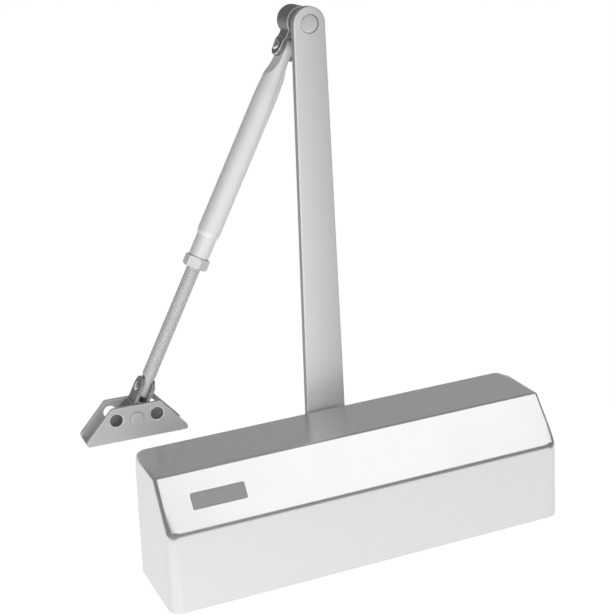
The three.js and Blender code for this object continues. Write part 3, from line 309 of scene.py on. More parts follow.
def spaced(start, stop, coarse, fine, reach):
    """Places from start to stop, close together within `reach` of either end."""
    length = abs(stop - start)
    near = np.arange(0, reach, fine)
    middle = np.linspace(reach, length - reach, max(2, int((length - 2 * reach) / coarse) + 1))
    steps = np.concatenate([near, middle, length - near[::-1]])
    return start + np.sign(stop - start) * steps


def solid(name, points, faces):
    """A mesh object from points in millimetres."""
    mesh = bpy.data.meshes.new(name)
    mesh.from_pydata([tuple(float(c) * MM for c in point) for point in points], [], faces)
    mesh.update()
    return standing(name, mesh)


SAME_POINT = 1e-7                   # in metres


def tidied(piece, crease=35):
    """Merges doubled points, faces the surface outward and shades it smooth between creases."""
    shape = bmesh.new()
    shape.from_mesh(piece.data)
    bmesh.ops.remove_doubles(shape, verts=shape.verts, dist=SAME_POINT)
    bmesh.ops.dissolve_degenerate(shape, edges=shape.edges, dist=SAME_POINT)
    bmesh.ops.recalc_face_normals(shape, faces=shape.faces)
    shape.to_mesh(piece.data)
    shape.free()
    piece.data.shade_smooth()
    piece.data.set_sharp_from_angle(angle=math.radians(crease))
    return piece


def evened(piece):
    """Tidies a finished piece and keeps its flat faces flat in shading beside their rounded edges."""
    tidied(piece)
    even = piece.modifiers.new("even", "WEIGHTED_NORMAL")
    even.keep_sharp = True
    even.weight = 90
    return piece


def settled(piece):
    """Works a piece's modifiers into its mesh."""
    graph = bpy.context.evaluated_depsgraph_get()
    mesh = bpy.data.meshes.new_from_object(piece.evaluated_get(graph))
    piece.modifiers.clear()
    piece.data = mesh
    return piece


def combined(piece, operation, *others):
    """Cuts the others out of a piece, joins them on, or keeps what they share."""
    for other in others:
        change = piece.modifiers.new(operation, "BOOLEAN")
        change.operation = operation
        change.solver = "EXACT"
        change.object = other
    settled(piece)
    for other in others:
        bpy.data.objects.remove(other)
    return piece


def eased(points, radius, steps):
    """A closed outline with its corners rounded."""
    rounded = []
    for i, corner in enumerate(points):
        corner = Vector(corner)
        into = Vector(points[i - 1]) - corner
        away = Vector(points[(i + 1) % len(points)]) - corner
        half = into.angle(away) / 2
        reach = min(radius / math.tan(half), into.length * 0.49, away.length * 0.49)
        centre = corner + (into.normalized() + away.normalized()).normalized() * reach / math.cos(half)
        start = corner + into.normalized() * reach - centre
        stop = corner + away.normalized() * reach - centre
        sweep = start.angle_signed(stop)
        for k in range(steps + 1):
            turn = Matrix.Rotation(-sweep * k / steps, 2)
            rounded.append(tuple(centre + turn @ start))
    return rounded


def plate(name, outline, low, high):
    """A flat plate from an outline in its own X and Y, between two heights."""
    count = len(outline)
    points = [(x, y, low) for x, y in outline] + [(x, y, high) for x, y in outline]
    faces = [tuple(range(count))[::-1], tuple(range(count, 2 * count))]
    faces += [(i, (i + 1) % count, count + (i + 1) % count, count + i) for i in range(count)]
    return solid(name, points, faces)


def turned(name, profile, sides=72):
    """A round piece about Z from (radius, height) points that start and end on the axis, or meet."""
    angles = [2 * math.pi * k / sides for k in range(sides)]
    points = [(r * math.cos(a), r * math.sin(a), h) for a in angles for r, h in profile]
    rows = len(profile)
    solid_core = profile[0][0] == 0 and profile[-1][0] == 0
    faces = []
    for k in range(sides):
        after = (k + 1) % sides
        for i in range(rows - 1 if solid_core else rows):
            j = (i + 1) % rows
            faces.append((k * rows + i, after * rows + i, after * rows + j, k * rows + j))
    return tidied(solid(name, points, faces))


ALONG_X = Matrix.Rotation(math.pi / 2, 4, "Y")
ALONG_Y = Matrix.Rotation(-math.pi / 2, 4, "X")


def shifted(x, y, z):
    return Matrix.Translation(Vector((x, y, z)) * MM)


def set_in(piece, *placings):
    """Moves a piece's mesh by each placing in turn, the last one written working first."""
    place = Matrix.Identity(4)
    for placing in placings:
        place = place @ placing
    piece.data.transform(place)
    return piece


# The skin's mesh: (coarse step, fine step, how far the fine steps reach from an edge), and the rings on
# each end as shares of the outline.
AROUND_STEPS = (7.0, 0.35, 3.2)
ALONG_STEPS = (9.0, 0.55, 11.0)
END_SHARES = np.concatenate([np.linspace(0, 0.72, 10), np.linspace(0.735, 1, 26)])[:-1]
MIDDLE_INSET = 22.0                 # how far the middle line stops short of each end
LEAST_REACH, MOST_REACH = 0.2, 1.4  # shares of the way out to the outline before rounding
HALVINGS = 44                       # of the reach, which then stops at the skin


def cover_skin():
    """Outer and inner skins, found by reaching out from a line along the middle of the open back."""
    y, z = COVER_HALF_WIDTH, COVER_DEPTH
    corners = [(-y, 0), (-y, COVER_BEVEL_Z), (COVER_BEVEL_Y - y, z), (y, z), (y, 0)]
    ring = []
    for start, stop in zip(corners, corners[1:]):
        start, stop = np.array(start, float), np.array(stop, float)
        length = np.linalg.norm(stop - start)
        for step in spaced(0, length, *AROUND_STEPS)[:-1]:
            ring.append(start + (stop - start) * step / length)
    ring.append(np.array(corners[-1], float))
    ring = np.array(ring)
    low, high = COVER_MIDDLE - COVER_HALF_LENGTH, COVER_MIDDLE + COVER_HALF_LENGTH
    rows = [(low, scale) for scale in END_SHARES]
    rows += [(x, 1.0) for x in spaced(low, high, *ALONG_STEPS)]
    rows += [(high, scale) for scale in END_SHARES[::-1]]
    target = np.array([[(x, scale * p[0], scale * p[1]) for p in ring] for x, scale in rows])
    origin = np.zeros_like(target)
    origin[..., 0] = np.clip(target[..., 0], low + MIDDLE_INSET, high - MIDDLE_INSET)
    skins = []
    for level in (0.0, -COVER_WALL):
        near, far = np.full(target.shape[:2], LEAST_REACH), np.full(target.shape[:2], MOST_REACH)
        for _ in range(HALVINGS):
            middle = (near + far) / 2
            point = origin + (target - origin) * middle[..., None]
            outside = past_cover(point[..., 0], point[..., 1], point[..., 2]) > level
            near, far = np.where(outside, near, middle), np.where(outside, middle, far)
        skins.append(origin + (target - origin) * near[..., None])
    count, across = target.shape[:2]
    points = np.concatenate([skin.reshape(-1, 3) for skin in skins])
    inner = count * across
    faces = []
    for i in range(count - 1):
        for j in range(across - 1):
            a, b = i * across + j, (i + 1) * across + j
            faces.append((a, a + 1, b + 1, b))
            faces.append((inner + a, inner + b, inner + b + 1, inner + a + 1))
        for j in (0, across - 1):
            a, b = i * across + j, (i + 1) * across + j
            faces.append((a, b, inner + b, inner + a) if j == 0 else (b, a, inner + a, inner + b))
    return tidied(solid("cover_shell", points, faces))


BADGE_LENGTH = 36.2
BADGE_WIDTH = 10.6
BADGE_THICKNESS = 0.6
BADGE_GAP = 0.25
BADGE_CORNER_R = 0.9
badge_low, badge_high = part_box("badge_plate")
BEVEL_UP = Vector((0, COVER_BEVEL_Y, COVER_DEPTH - COVER_BEVEL_Z)).normalized()
BEVEL_OUT = Vector((1, 0, 0)).cross(BEVEL_UP)
BADGE_PLACE = Matrix.Translation((badge_low + badge_high) / 2) @ Matrix(
    (Vector((1, 0, 0)), BEVEL_UP, BEVEL_OUT)
).transposed().to_4x4()


def badge_outline(grow):
    x, y = BADGE_LENGTH / 2 + grow, BADGE_WIDTH / 2 + grow
    return eased([(-x, -y), (x, -y), (x, y), (-x, y)], BADGE_CORNER_R + grow, 6)


JOINTS = {joint["name"]: joint for joint in frame["joints"]}
axis_z = JOINTS["arm_swing"]["pos_m"][2] / MM
COVER_SCREWS = {}                   # each screw's solid and its X
for node in ("cover_screw_spring", "cover_screw_valve"):
    low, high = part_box(node)
    COVER_SCREWS[node] = (low.x + high.x) / 2 / MM


def cut_rod(radius, low, high, *placings, sides=72):
    """A round bar along Z, set in place, mostly to cut with."""
    return set_in(turned("cut", [(0, low), (radius, low), (radius, high), (0, high)], sides), *placings)


cover = cover_skin()
side = (COVER_HALF_WIDTH - 8, COVER_HALF_WIDTH + 4)     # cuts through the arm side alone
pocket_floor = -BADGE_THICKNESS / 2 - BADGE_GAP
combined(
    cover, "DIFFERENCE",
    cut_rod(COVER_SHAFT_HOLE_R, *side, shifted(0, 0, axis_z), ALONG_Y),
    *[
        cut_rod(COVER_SCREW_HOLE_R, *side, shifted(x, 0, axis_z), ALONG_Y, sides=32)
        for x in COVER_SCREWS.values()
    ],
    set_in(plate("badge_cut", badge_outline(BADGE_GAP), pocket_floor, 3), BADGE_PLACE),
)
evened(cover)


def linear(shown):
    """The light that a grey of this brightness on screen gives back."""
    return ((shown + 0.055) / 1.055) ** 2.4 if shown > 0.04045 else shown / 12.92


def new_finish(name):
    """A finish for a new material, and the place on the piece that its patterns follow."""
    finish = Finish(bpy.data.materials.new(name))
    return finish, finish.node("ShaderNodeTexCoord", output="Object")


def noise(place, scale, detail, rough=0.5):
    """Cloudy noise from 0 to 1. The scale counts its lumps in a metre."""
    return place.finish.node("ShaderNodeTexNoise", values={
        "Vector": place, "Scale": scale, "Detail": detail, "Roughness": rough,
    })


def surfaced(tone, metallic, rough, height, strength, distance, tint=(1, 1, 1)):
    """Ends a finish in its shader, with a tinted grey, gloss and a fine relief. Gives its material."""
    finish = tone.finish
    red, green, blue = [tone if share == 1 else tone * share for share in tint]
    colour = finish.node("ShaderNodeCombineColor", values={"Red": red, "Green": green, "Blue": blue})
    relief = finish.node("ShaderNodeBump", values={
        "Height": height, "Strength": strength, "Distance": distance,
    })
    shader = finish.node("ShaderNodeBsdfPrincipled", values={
        "Base Color": colour, "Metallic": metallic, "Roughness": rough, "Normal": relief,
    })
    finish.node("ShaderNodeOutputMaterial", values={"Surface": shader})
    return finish.owner


# Near its edges the paint is made brighter, as wear and as painted highlight, within this reach.
EDGE_REACH = 0.0009                 # how far from an edge the paint is rubbed, in metres


def painted(name, shown, metallic, rough=0.36, edge_wear_and_highlight=0.06, painted_shade_across=None):
    """Silver paint: fine metal flake under a faintly uneven, satin surface, brighter at its edges as wear
    and painted highlight. Where painted shade darkens it across the piece, its last argument is (x at its
    start, x at its end, share lost)."""
    finish, place = new_finish(name)
    cloud = noise(place, 26.0, 3.0)
    fine = noise(place, 2600.0, 2.0, 0.7)
    peel = noise(place, 420.0, 2.0)
    rounded = finish.node("ShaderNodeBevel", {"samples": 4}, {"Radius": EDGE_REACH})
    flat = finish.node("ShaderNodeNewGeometry", output="Normal")
    turned_away = 1.0 - finish.node(
        "ShaderNodeVectorMath", {"operation": "DOT_PRODUCT"}, {0: rounded, 1: flat}, output="Value",
    )
    # Wear and painted highlight: brighter where the rounded edge turns away from the flat face.
    worn_and_lit_edges = finish.node("ShaderNodeValToRGB", {"stops": [(0.01, 0.0), (0.10, 1.0)]}, {"Fac": turned_away})
    tone = (cloud - 0.5) * 0.03 + (fine - 0.5) * 0.06 + worn_and_lit_edges * edge_wear_and_highlight * (cloud + 0.5) + linear(shown)
    # Painted shade: the tone falls off along X across the piece.
    if painted_shade_across:
        start, end, lost = painted_shade_across
        across = finish.node("ShaderNodeSeparateXYZ", values={"Vector": place}, output="X")
        tone = tone * (1.0 - finish.node("ShaderNodeMapRange", values={
            "Value": across, "From Min": start, "From Max": end, "To Min": 0.0, "To Max": lost,
        }))
    rough = (cloud - 0.5) * 0.10 + (fine - 0.5) * 0.08 + rough
    return surfaced(tone, metallic, rough, fine * 0.35 + peel * 0.65, 0.10, 0.0004)


def fitted(piece, body, node, slot, *finishes):
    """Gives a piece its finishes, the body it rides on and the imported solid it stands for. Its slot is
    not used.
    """
    for finish in finishes:
        piece.data.materials.append(finish)
    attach(piece, body)
    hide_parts(node)


SILVER_PAINT = painted("silver_paint", 0.85, metallic=0.8, rough=0.24)
fitted(cover, "closer_body", "cover", "silver_paint", SILVER_PAINT)


# ---- Badge plate ----
# A thin aluminium plate with a dull anodised face and no marking, pressed into a shallow pocket in the
# bevel. Its edges are broken so that they catch a little light.

BADGE_EDGE = 0.12


def softened(piece, width, angle, segments=3):
    """Rounds a piece's sharp edges by this much."""
    ease = piece.modifiers.new("edges", "BEVEL")
    ease.width = width * MM
    ease.segments = segments
    ease.limit_method = "ANGLE"
    ease.angle_limit = math.radians(angle)
    return settled(piece)


def anodised(name, shown):
    """Dull anodised aluminium, brushed lightly along its length."""
    finish, place = new_finish(name)
    drawn = finish.node("ShaderNodeMapping", values={"Vector": place, "Scale": (60.0, 3200.0, 3200.0)})
    lines = noise(drawn, 1.0, 3.0)
    tone = (lines - 0.5) * 0.10 + linear(shown)
    return surfaced(tone, 0.35, (lines - 0.5) * 0.15 + 0.55, lines, 0.06, 0.0002)


badge = plate("badge_face", badge_outline(0), -BADGE_THICKNESS / 2, BADGE_THICKNESS / 2)
evened(softened(set_in(badge, BADGE_PLACE), BADGE_EDGE, 60))
fitted(badge, "closer_body", "badge_plate", "badge", anodised("badge_grey", 0.60))


# ---- Main arm ----
# A flat steel bar, cut to a long taper with round ends, its edges broken, then painted silver. A square
# hole takes the end of the pinion and the elbow pin is riveted into a sunk hole at the other end.

ARM_HUB_HALF_WIDTH = 14.8
ARM_ELBOW_HALF_WIDTH = 10.95
ARM_EDGE_R = 1.0
HOLE_EDGE = 0.12
ARM_SQUARE = 13.3
ELBOW_RIVET_R = 4.0
ELBOW_HEAD_R = 6.1
ELBOW_HEAD_DEPTH = 1.8
FIT = 0.15                          # play between pieces that fit together

axis_place = Vector(JOINTS["arm_swing"]["pos_m"])
elbow_place = Vector(JOINTS["elbow"]["pos_m"])
reach = elbow_place - axis_place
ARM_LENGTH = math.hypot(reach.x, reach.z) / MM
ARM_LEAN = math.atan2(reach.x, reach.z)
ARM_FRAME = Matrix.Translation(axis_place) @ Matrix.Rotation(ARM_LEAN, 4, "Y")
arm_low, arm_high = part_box("main_arm")


def y_range(node):
    """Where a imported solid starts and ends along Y, in millimetres."""
    low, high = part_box(node)
    return low.y / MM, high.y / MM


ARM_FRONT, ARM_BACK = y_range("main_arm")


def half_round(radius, height, start, steps=40):
    """Half a circle round a point on the bar's middle line, anticlockwise from this angle."""
    angles = [start + math.pi * k / steps for k in range(steps + 1)]
    return [(radius * math.cos(angle), height + radius * math.sin(angle)) for angle in angles]


# Outline X and Y become X and Z, and the plate's height becomes -Y.
UPRIGHT = Matrix.Rotation(math.pi / 2, 4, "X")


def cut_block(x, y, z):
    """A block between two values on each axis."""
    outline = [(x[0], y[0]), (x[1], y[0]), (x[1], y[1]), (x[0], y[1])]
    return plate("cut", outline, z[0], z[1])


def second_finish(piece, wanted):
    """Marks for a piece's second finish the faces that `wanted` picks by their centre and normal."""
    for face in piece.data.polygons:
        if wanted(face.center, face.normal):
            face.material_index = 1


outline = half_round(ARM_ELBOW_HALF_WIDTH, ARM_LENGTH, 0) + half_round(ARM_HUB_HALF_WIDTH, 0, math.pi)
arm = set_in(plate("arm_bar", outline, -ARM_BACK, -ARM_FRONT), UPRIGHT)
softened(arm, ARM_EDGE_R, 50, 4)
square = ARM_SQUARE / 2
through = (ARM_FRONT - 3, ARM_BACK + 3)
at_elbow = shifted(0, 0, ARM_LENGTH)
combined(
    arm, "DIFFERENCE",
    cut_block((-square, square), through, (-square, square)),
    cut_rod(ELBOW_RIVET_R + FIT, *through, at_elbow, ALONG_Y),
    cut_rod(ELBOW_HEAD_R + FIT, through[0], ARM_FRONT + ELBOW_HEAD_DEPTH, at_elbow, ALONG_Y),
)
evened(softened(arm, HOLE_EDGE, 60, 2))
set_in(arm, ARM_FRAME)
# The arm's side faces are marked for the darker paint below, which is painted shade.
second_finish(arm, lambda centre, normal: abs(normal.y) < 0.35)
# Painted shade: the arm's face is made up to 30 % darker along its length.
ARM_FACE = painted("arm_face_paint", 0.83, metallic=0.3, painted_shade_across=(arm_low.x, arm_high.x, 0.30))
# Painted shade: a darker copy of the arm's paint for its side faces.
ARM_EDGE = painted("arm_side_painted_shade", 0.60, metallic=0.4, rough=0.5)
fitted(arm, "arm", "main_arm", "silver_paint", ARM_FACE, ARM_EDGE)


# ---- Elbow pin ----
# A turned steel pin. Its head lies in the sunk hole of the arm, a little below the face, and was painted
# with the arm. The far end is riveted over behind the knuckle.

ELBOW_FAR_HEAD_R = 6.4
ELBOW_FAR_HEAD_H = 2.2

front, far_end = y_range("elbow_rivet")
far = far_end - ELBOW_FAR_HEAD_H
shelf = ARM_FRONT + ELBOW_HEAD_DEPTH - FIT
elbow_pin = turned("elbow_pin", [
    (0, front), (ELBOW_HEAD_R - 1.6, front + 0.01), (ELBOW_HEAD_R - 0.7, front + 0.07),
    (ELBOW_HEAD_R - 0.22, front + 0.2), (ELBOW_HEAD_R, front + 0.45), (ELBOW_HEAD_R, shelf),
    (ELBOW_RIVET_R, shelf), (ELBOW_RIVET_R, far), (ELBOW_FAR_HEAD_R - 0.3, far),
    (ELBOW_FAR_HEAD_R, far + 0.3), (ELBOW_FAR_HEAD_R, far + ELBOW_FAR_HEAD_H * 0.35),
    (ELBOW_FAR_HEAD_R * 0.94, far + ELBOW_FAR_HEAD_H * 0.6),
    (ELBOW_FAR_HEAD_R * 0.8, far + ELBOW_FAR_HEAD_H * 0.82),
    (ELBOW_FAR_HEAD_R * 0.5, far + ELBOW_FAR_HEAD_H * 0.97), (0, far + ELBOW_FAR_HEAD_H),
])
set_in(elbow_pin, ARM_FRAME, at_elbow, ALONG_Y)
fitted(elbow_pin, "arm", "elbow_rivet", "zinc", painted("arm_paint", 0.80, metallic=0.65))


# ---- Elbow collar ----
# A short turned collar on the elbow pin that keeps the knuckle clear of the arm. It is plated, and its
# rims are broken.

ELBOW_WASHER_R = 7.2


def washer(name, inner, outer, low, high, rim):
    """A flat ring about Z with its four rims eased."""
    section = eased([(inner, low), (outer, low), (outer, high), (inner, high)], rim, 3)
    return turned(name, section + section[:1])


def plated(name, shown, rough, warm=0.0, grain=900.0, metallic=1.0, edge_wear_and_highlight=0.08):
    """Plated steel with a fine tumbled grain, slightly cloudy patches and edges brightened as wear and
    painted highlight.
    """
    finish, place = new_finish(name)
    grey = linear(shown)
    cloud = noise(place, 160.0, 4.0)
    fine = noise(place, grain, 3.0)
    # Wear and painted highlight: brighter on sharp outward edges.
    worn_and_lit_edges = finish.node(
        "ShaderNodeValToRGB", {"stops": [(0.51, 0.0), (0.60, 1.0)]},
        {"Fac": finish.node("ShaderNodeNewGeometry", output="Pointiness")},
    )
    tone = (cloud - 0.5) * 0.12 * grey + (fine - 0.5) * 0.10 * grey + worn_and_lit_edges * edge_wear_and_highlight + grey
    rough = (cloud - 0.5) * 0.14 + (fine - 0.5) * 0.10 + rough
    tint = (1 + warm, 1 + warm * 0.3, 1 - warm)
    return surfaced(tone, metallic, rough, fine, 0.12, 0.0002, tint)


elbow_washer = washer(
    "elbow_spacer", ELBOW_RIVET_R + FIT, ELBOW_WASHER_R, *y_range("elbow_washer"), rim=0.3,
)
set_in(elbow_washer, ARM_FRAME, at_elbow, ALONG_Y)
ZINC = plated("zinc", 0.78, rough=0.50, metallic=0.35)
fitted(elbow_washer, "arm", "elbow_washer", "zinc", ZINC)


# ---- Knuckle ----
# A cast steel elbow piece: a drum on the elbow pin and a short neck that opens into two ears. The
# casting's edges are soft and its skin is slightly grainy under a thin plating. Its dark tone is painted
# shade, and its strongly brightened rim is painted highlight.

KNUCKLE_R = 10.0
KNUCKLE_LENGTH = 18.9
KNUCKLE_LIP = 0.4
DRUM_FRONT_EDGE = 0.5
DRUM_BACK_EDGE = 1.2
FORK_HALF_WIDTH = 6.6
NECK_HALF_WIDTH = 5.6
FORK_HALF_SLOT = 3.2
FORK_R = 6.8
FORK_HALF_DEPTH = 6.8
FORK_THROAT = 7.6                   # from the fork pin to the foot of the slot
NECK_FLARE = 3                      # length over which the neck widens into the ears
CROSS_PIN_R = 2.6
CAST_GRAIN = 0.32                   # size of the cells that the casting is remade in
THROUGH = 20                        # half the length of a cutter that goes right through

tilt_place = Vector(JOINTS["forearm_tilt"]["pos_m"])
along = (tilt_place - elbow_place).normalized()
FOREARM_LEAN = math.atan2(-along.x, -along.z)
FOREARM_FRAME = Matrix.Translation(elbow_place) @ Matrix.Rotation(FOREARM_LEAN, 4, "Y")
CROSS_PIN_S = (tilt_place - elbow_place).length / MM


def cast_over(piece, cell, rounds=5):
    """Remakes a piece in small even faces with the soft edges of a casting or forging."""
    remade = piece.modifiers.new("cells", "REMESH")
    remade.mode = "VOXEL"
    remade.voxel_size = cell * MM
    soft = piece.modifiers.new("soft", "SMOOTH")
    soft.factor = 0.5
    soft.iterations = rounds
    return settled(piece)


drum_front = -FORK_HALF_DEPTH - KNUCKLE_LIP
drum_back = drum_front + KNUCKLE_LENGTH
knuckle = set_in(turned("knuckle_casting", [
    (0, drum_front), (KNUCKLE_R - DRUM_FRONT_EDGE, drum_front), (KNUCKLE_R, drum_front + DRUM_FRONT_EDGE),
    (KNUCKLE_R, drum_back - DRUM_BACK_EDGE), (KNUCKLE_R - 0.35, drum_back - 0.35),
    (KNUCKLE_R - DRUM_BACK_EDGE, drum_back), (0, drum_back),
]), ALONG_Y)
neck_end = -CROSS_PIN_S + FORK_THROAT - 1
ears_start = neck_end - NECK_FLARE
neck = set_in(plate("neck", [
    (NECK_HALF_WIDTH, 0), (-NECK_HALF_WIDTH, 0), (-NECK_HALF_WIDTH, neck_end),
    (-FORK_HALF_WIDTH, ears_start), (-FORK_HALF_WIDTH, -CROSS_PIN_S),
    (FORK_HALF_WIDTH, -CROSS_PIN_S), (FORK_HALF_WIDTH, ears_start), (NECK_HALF_WIDTH, neck_end),
], -FORK_HALF_DEPTH, FORK_HALF_DEPTH), UPRIGHT)
at_fork = shifted(0, 0, -CROSS_PIN_S)
ears = cut_rod(FORK_R, -FORK_HALF_WIDTH, FORK_HALF_WIDTH, at_fork, ALONG_X)
combined(knuckle, "UNION", neck, ears)
slot_z = (-CROSS_PIN_S - THROUGH, -CROSS_PIN_S + FORK_THROAT)
combined(
    knuckle, "DIFFERENCE",
    cut_block((-FORK_HALF_SLOT, FORK_HALF_SLOT), (-THROUGH, THROUGH), slot_z),
    cut_rod(ELBOW_RIVET_R + FIT, drum_front - 2, drum_back + 2, ALONG_Y),
    cut_rod(CROSS_PIN_R + FIT, -THROUGH, THROUGH, at_fork, ALONG_X),
)
tidied(cast_over(knuckle, CAST_GRAIN), 60)
set_in(knuckle, FOREARM_FRAME)
# Painted shade and highlight: a dark tone for the casting, and its rim strongly brightened.
IRON = plated("casting_painted_shade", 0.46, rough=0.46, grain=1500.0, metallic=0.4, edge_wear_and_highlight=1.5)
fitted(knuckle, "elbow_knuckle", "knuckle", "iron", IRON)


# ---- Fork pin ----
# A bright plated steel pin through the knuckle's ears and the flat of the tube. Each end is upset into a
# low domed head.

CROSS_PIN_HEAD = (3.4, 1.7)         # radius, height


def domed(r, h):
    return [(r, 0), (r, h * 0.35), (r * 0.94, h * 0.62), (r * 0.78, h * 0.86), (r * 0.5, h * 0.98), (0, h)]


def headed_pin(name, radius, seats, heads, shape=domed):
    """A pin about Z. Each head is (radius, height) and stands outward from its seat."""
    (low_r, low_h), (high_r, high_h) = heads
    profile = [(r, seats[0] - h) for r, h in reversed(shape(low_r, low_h))]
    profile += [(radius, seats[0]), (radius, seats[1])]
    profile += [(r, seats[1] + h) for r, h in shape(high_r, high_h)]
    return turned(name, profile, 48)


seat = FORK_HALF_WIDTH + FIT
fork_pin = headed_pin("fork_pin", CROSS_PIN_R, (-seat, seat), [CROSS_PIN_HEAD] * 2)
set_in(fork_pin, FOREARM_FRAME, at_fork, ALONG_X)
BRIGHT_PIN = plated("bright_pin", 0.88, rough=0.26, metallic=0.9)
fitted(fork_pin, "forearm", "elbow_cross_pin", "zinc", BRIGHT_PIN)


# ---- Forearm tube ----
# A drawn steel tube, a little slimmer towards the fork. Its top is pressed to a flat tongue that runs
# out in two hollows, its lower end is drawn in for the thread, and it is painted silver like the arm.

TONGUE_HALF_THICKNESS = 2.9
TONGUE_R = 7.2
SHOULDER_GAP = 0.5
SCOOP_R = 23.0
TUBE_R = 7.8
TUBE_END_R = 6.9
TUBE_BORE_R = 5.1
TUBE_BORE_S = 42.0
TUBE_SECTIONS = [                   # distance from the elbow pin, radius
    (19.4, 7.2), (38.0, 7.2), (41.0, 7.26), (45.0, 7.4), (49.0, 7.64), (52.0, 7.76), (55.0, 7.8),
    (60.0, 7.8), (149.2, 7.8), (150.2, 7.7), (151.2, 7.4), (152.2, 7.05), (153.2, 6.9),
]
TUBE_END_S = 167.2
TUBE_RIM = 0.35
TUBE_EDGE = 0.3
SCOOP_MARGIN = 0.2                  # how far the pressed outline clears the tube's side
SCOOP_STEPS = 24

profile = [(0, -TUBE_END_S), (TUBE_END_R - TUBE_RIM, -TUBE_END_S), (TUBE_END_R, -TUBE_END_S + TUBE_RIM)]
profile += [(r, -s) for s, r in reversed(TUBE_SECTIONS)] + [(0, -CROSS_PIN_S)]
tube = turned("forearm_tube_drawn", profile, 96)
tongue = TONGUE_HALF_THICKNESS
tube_side = TUBE_R + SCOOP_MARGIN
scoop_start = CROSS_PIN_S + FORK_R + SHOULDER_GAP
scoop_turn = math.acos(1 - (tube_side - tongue) / SCOOP_R)
flattened = [(tongue, 0)]
for k in range(SCOOP_STEPS + 1):
    turn = scoop_turn * k / SCOOP_STEPS
    flattened.append((tongue + SCOOP_R * (1 - math.cos(turn)), -scoop_start - SCOOP_R * math.sin(turn)))
flattened.append((tube_side, -TUBE_END_S - 1))
flattened += [(-x, y) for x, y in reversed(flattened)]
combined(tube, "INTERSECT", set_in(plate("pressed", flattened[::-1], -THROUGH, THROUGH), UPRIGHT))
combined(tube, "UNION", cut_rod(TONGUE_R, -tongue, tongue, at_fork, ALONG_X))
combined(
    tube, "DIFFERENCE",
    cut_rod(CROSS_PIN_R + FIT, -THROUGH, THROUGH, at_fork, ALONG_X),
    cut_rod(TUBE_BORE_R, -TUBE_END_S - 2, -TUBE_BORE_S),
)
evened(softened(tube, TUBE_EDGE, 40))
set_in(tube, FOREARM_FRAME)
TUBE_PAINT = painted("tube_paint", 0.87, metallic=0.36, rough=0.42)
fitted(tube, "forearm", "forearm_tube", "silver_paint", TUBE_PAINT)


# ---- Lock nut ----
# A thin hexagon nut of zinc-plated steel, chamfered on both faces. It is tightened against the end of the
# tube and locks the rod in it.

NUT_ACROSS_FLATS = 15.0
NUT_HEIGHT = 7.6
NUT_CHAMFER = 1.25
NUT_CHAMFER_H = 0.8
NUT_CORNER_R = 0.35
NUT_EDGE = 0.15

nut_top = -TUBE_END_S - FIT
nut_foot = nut_top - NUT_HEIGHT
nut_corner = NUT_ACROSS_FLATS / math.sqrt(3)
nut_rim = nut_corner + 0.02


def hexagon(corner, turn=0.0):
    """A hexagon's outline from the distance to its corners, turned by a share of a side."""
    angles = [math.pi * (k + turn) / 3 for k in range(6)]
    return [(corner * math.cos(angle), corner * math.sin(angle)) for angle in angles]


nut = plate("lock_nut_hex", eased(hexagon(nut_corner, 0.5), NUT_CORNER_R, 3), nut_foot, nut_top)
combined(nut, "INTERSECT", turned("chamfer", [
    (0, nut_foot), (nut_corner - NUT_CHAMFER, nut_foot), (nut_rim, nut_foot + NUT_CHAMFER_H),
    (nut_rim, nut_top - NUT_CHAMFER_H), (nut_corner - NUT_CHAMFER, nut_top), (0, nut_top),
]))
combined(nut, "DIFFERENCE", cut_rod(TUBE_BORE_R, nut_foot - 2, nut_top + 2))
evened(softened(nut, NUT_EDGE, 35, 2))
set_in(nut, FOREARM_FRAME)
NUT_ZINC = plated("nut_zinc", 0.79, rough=0.62, grain=1400.0, metallic=0.15)
fitted(nut, "nut", "lock_nut", "zinc", NUT_ZINC)


# ---- Threaded rod ----
# A plated steel rod with a rolled thread over nearly all its length, flattened and rounded at the lower
# end for the swivel's pin.

ROD_R = 4.75
ROD_START_S = 96.0
ROD_HALF_FLAT = 2.8
ROD_FLAT_LENGTH = 7.6
ROD_PAST_PIN = 6.6
ROD_PIN_R = 2.0
ROD_TIP = 0.8                       # length of the chamfered tip inside the tube
ROD_TIP_TAPER = 1.0
ROD_FLAT_RUN = 3                    # length over which the flat runs out
THREAD_PITCH = 1.5
THREAD_DEPTH = 0.22
THREAD_END_S = 250.0
ROD_SIDES = 40
RINGS_A_PITCH = 8
swivel_place = Vector(JOINTS["shoe_swivel_tilt"]["pos_m"])
ROD_PIN_S = (swivel_place - elbow_place).length / MM


def threaded(name, start, stop):
    """A round bar along -Z with a helical thread, from `start` down to `stop`."""
    cut = np.arange(start + ROD_TIP, THREAD_END_S, THREAD_PITCH / RINGS_A_PITCH)
    plain = np.arange(THREAD_END_S, stop, THREAD_PITCH)[1:]
    along = np.concatenate([[start, start + ROD_TIP / 2], cut, plain, [stop]])
    turn = np.linspace(0, 2 * math.pi, ROD_SIDES, endpoint=False)
    run_in = np.clip((along - start - ROD_TIP) / (2 * THREAD_PITCH), 0, 1)
    run_out = np.clip((THREAD_END_S - along) / (2 * THREAD_PITCH), 0, 1)
    phase = (along[:, None] / THREAD_PITCH - turn[None, :] / (2 * math.pi)) % 1.0
    groove = 0.5 + 0.5 * np.cos(2 * math.pi * phase)
    size = ROD_R - THREAD_DEPTH * (run_in * run_out)[:, None] * groove
    size[0] -= ROD_TIP_TAPER
    size[1] -= ROD_TIP_TAPER / 2
    points = np.stack([
        size * np.cos(turn), size * np.sin(turn), np.broadcast_to(-along[:, None], size.shape),
    ], axis=-1).reshape(-1, 3).tolist()
    last = len(points) - ROD_SIDES
    faces = []
    for row in range(0, last, ROD_SIDES):
        for k in range(ROD_SIDES):
            a, b = row + k, row + (k + 1) % ROD_SIDES
            faces.append((a, b, b + ROD_SIDES, a + ROD_SIDES))
    faces += [tuple(range(ROD_SIDES)), tuple(range(last, len(points)))]
    return tidied(solid(name, points, faces), 50)


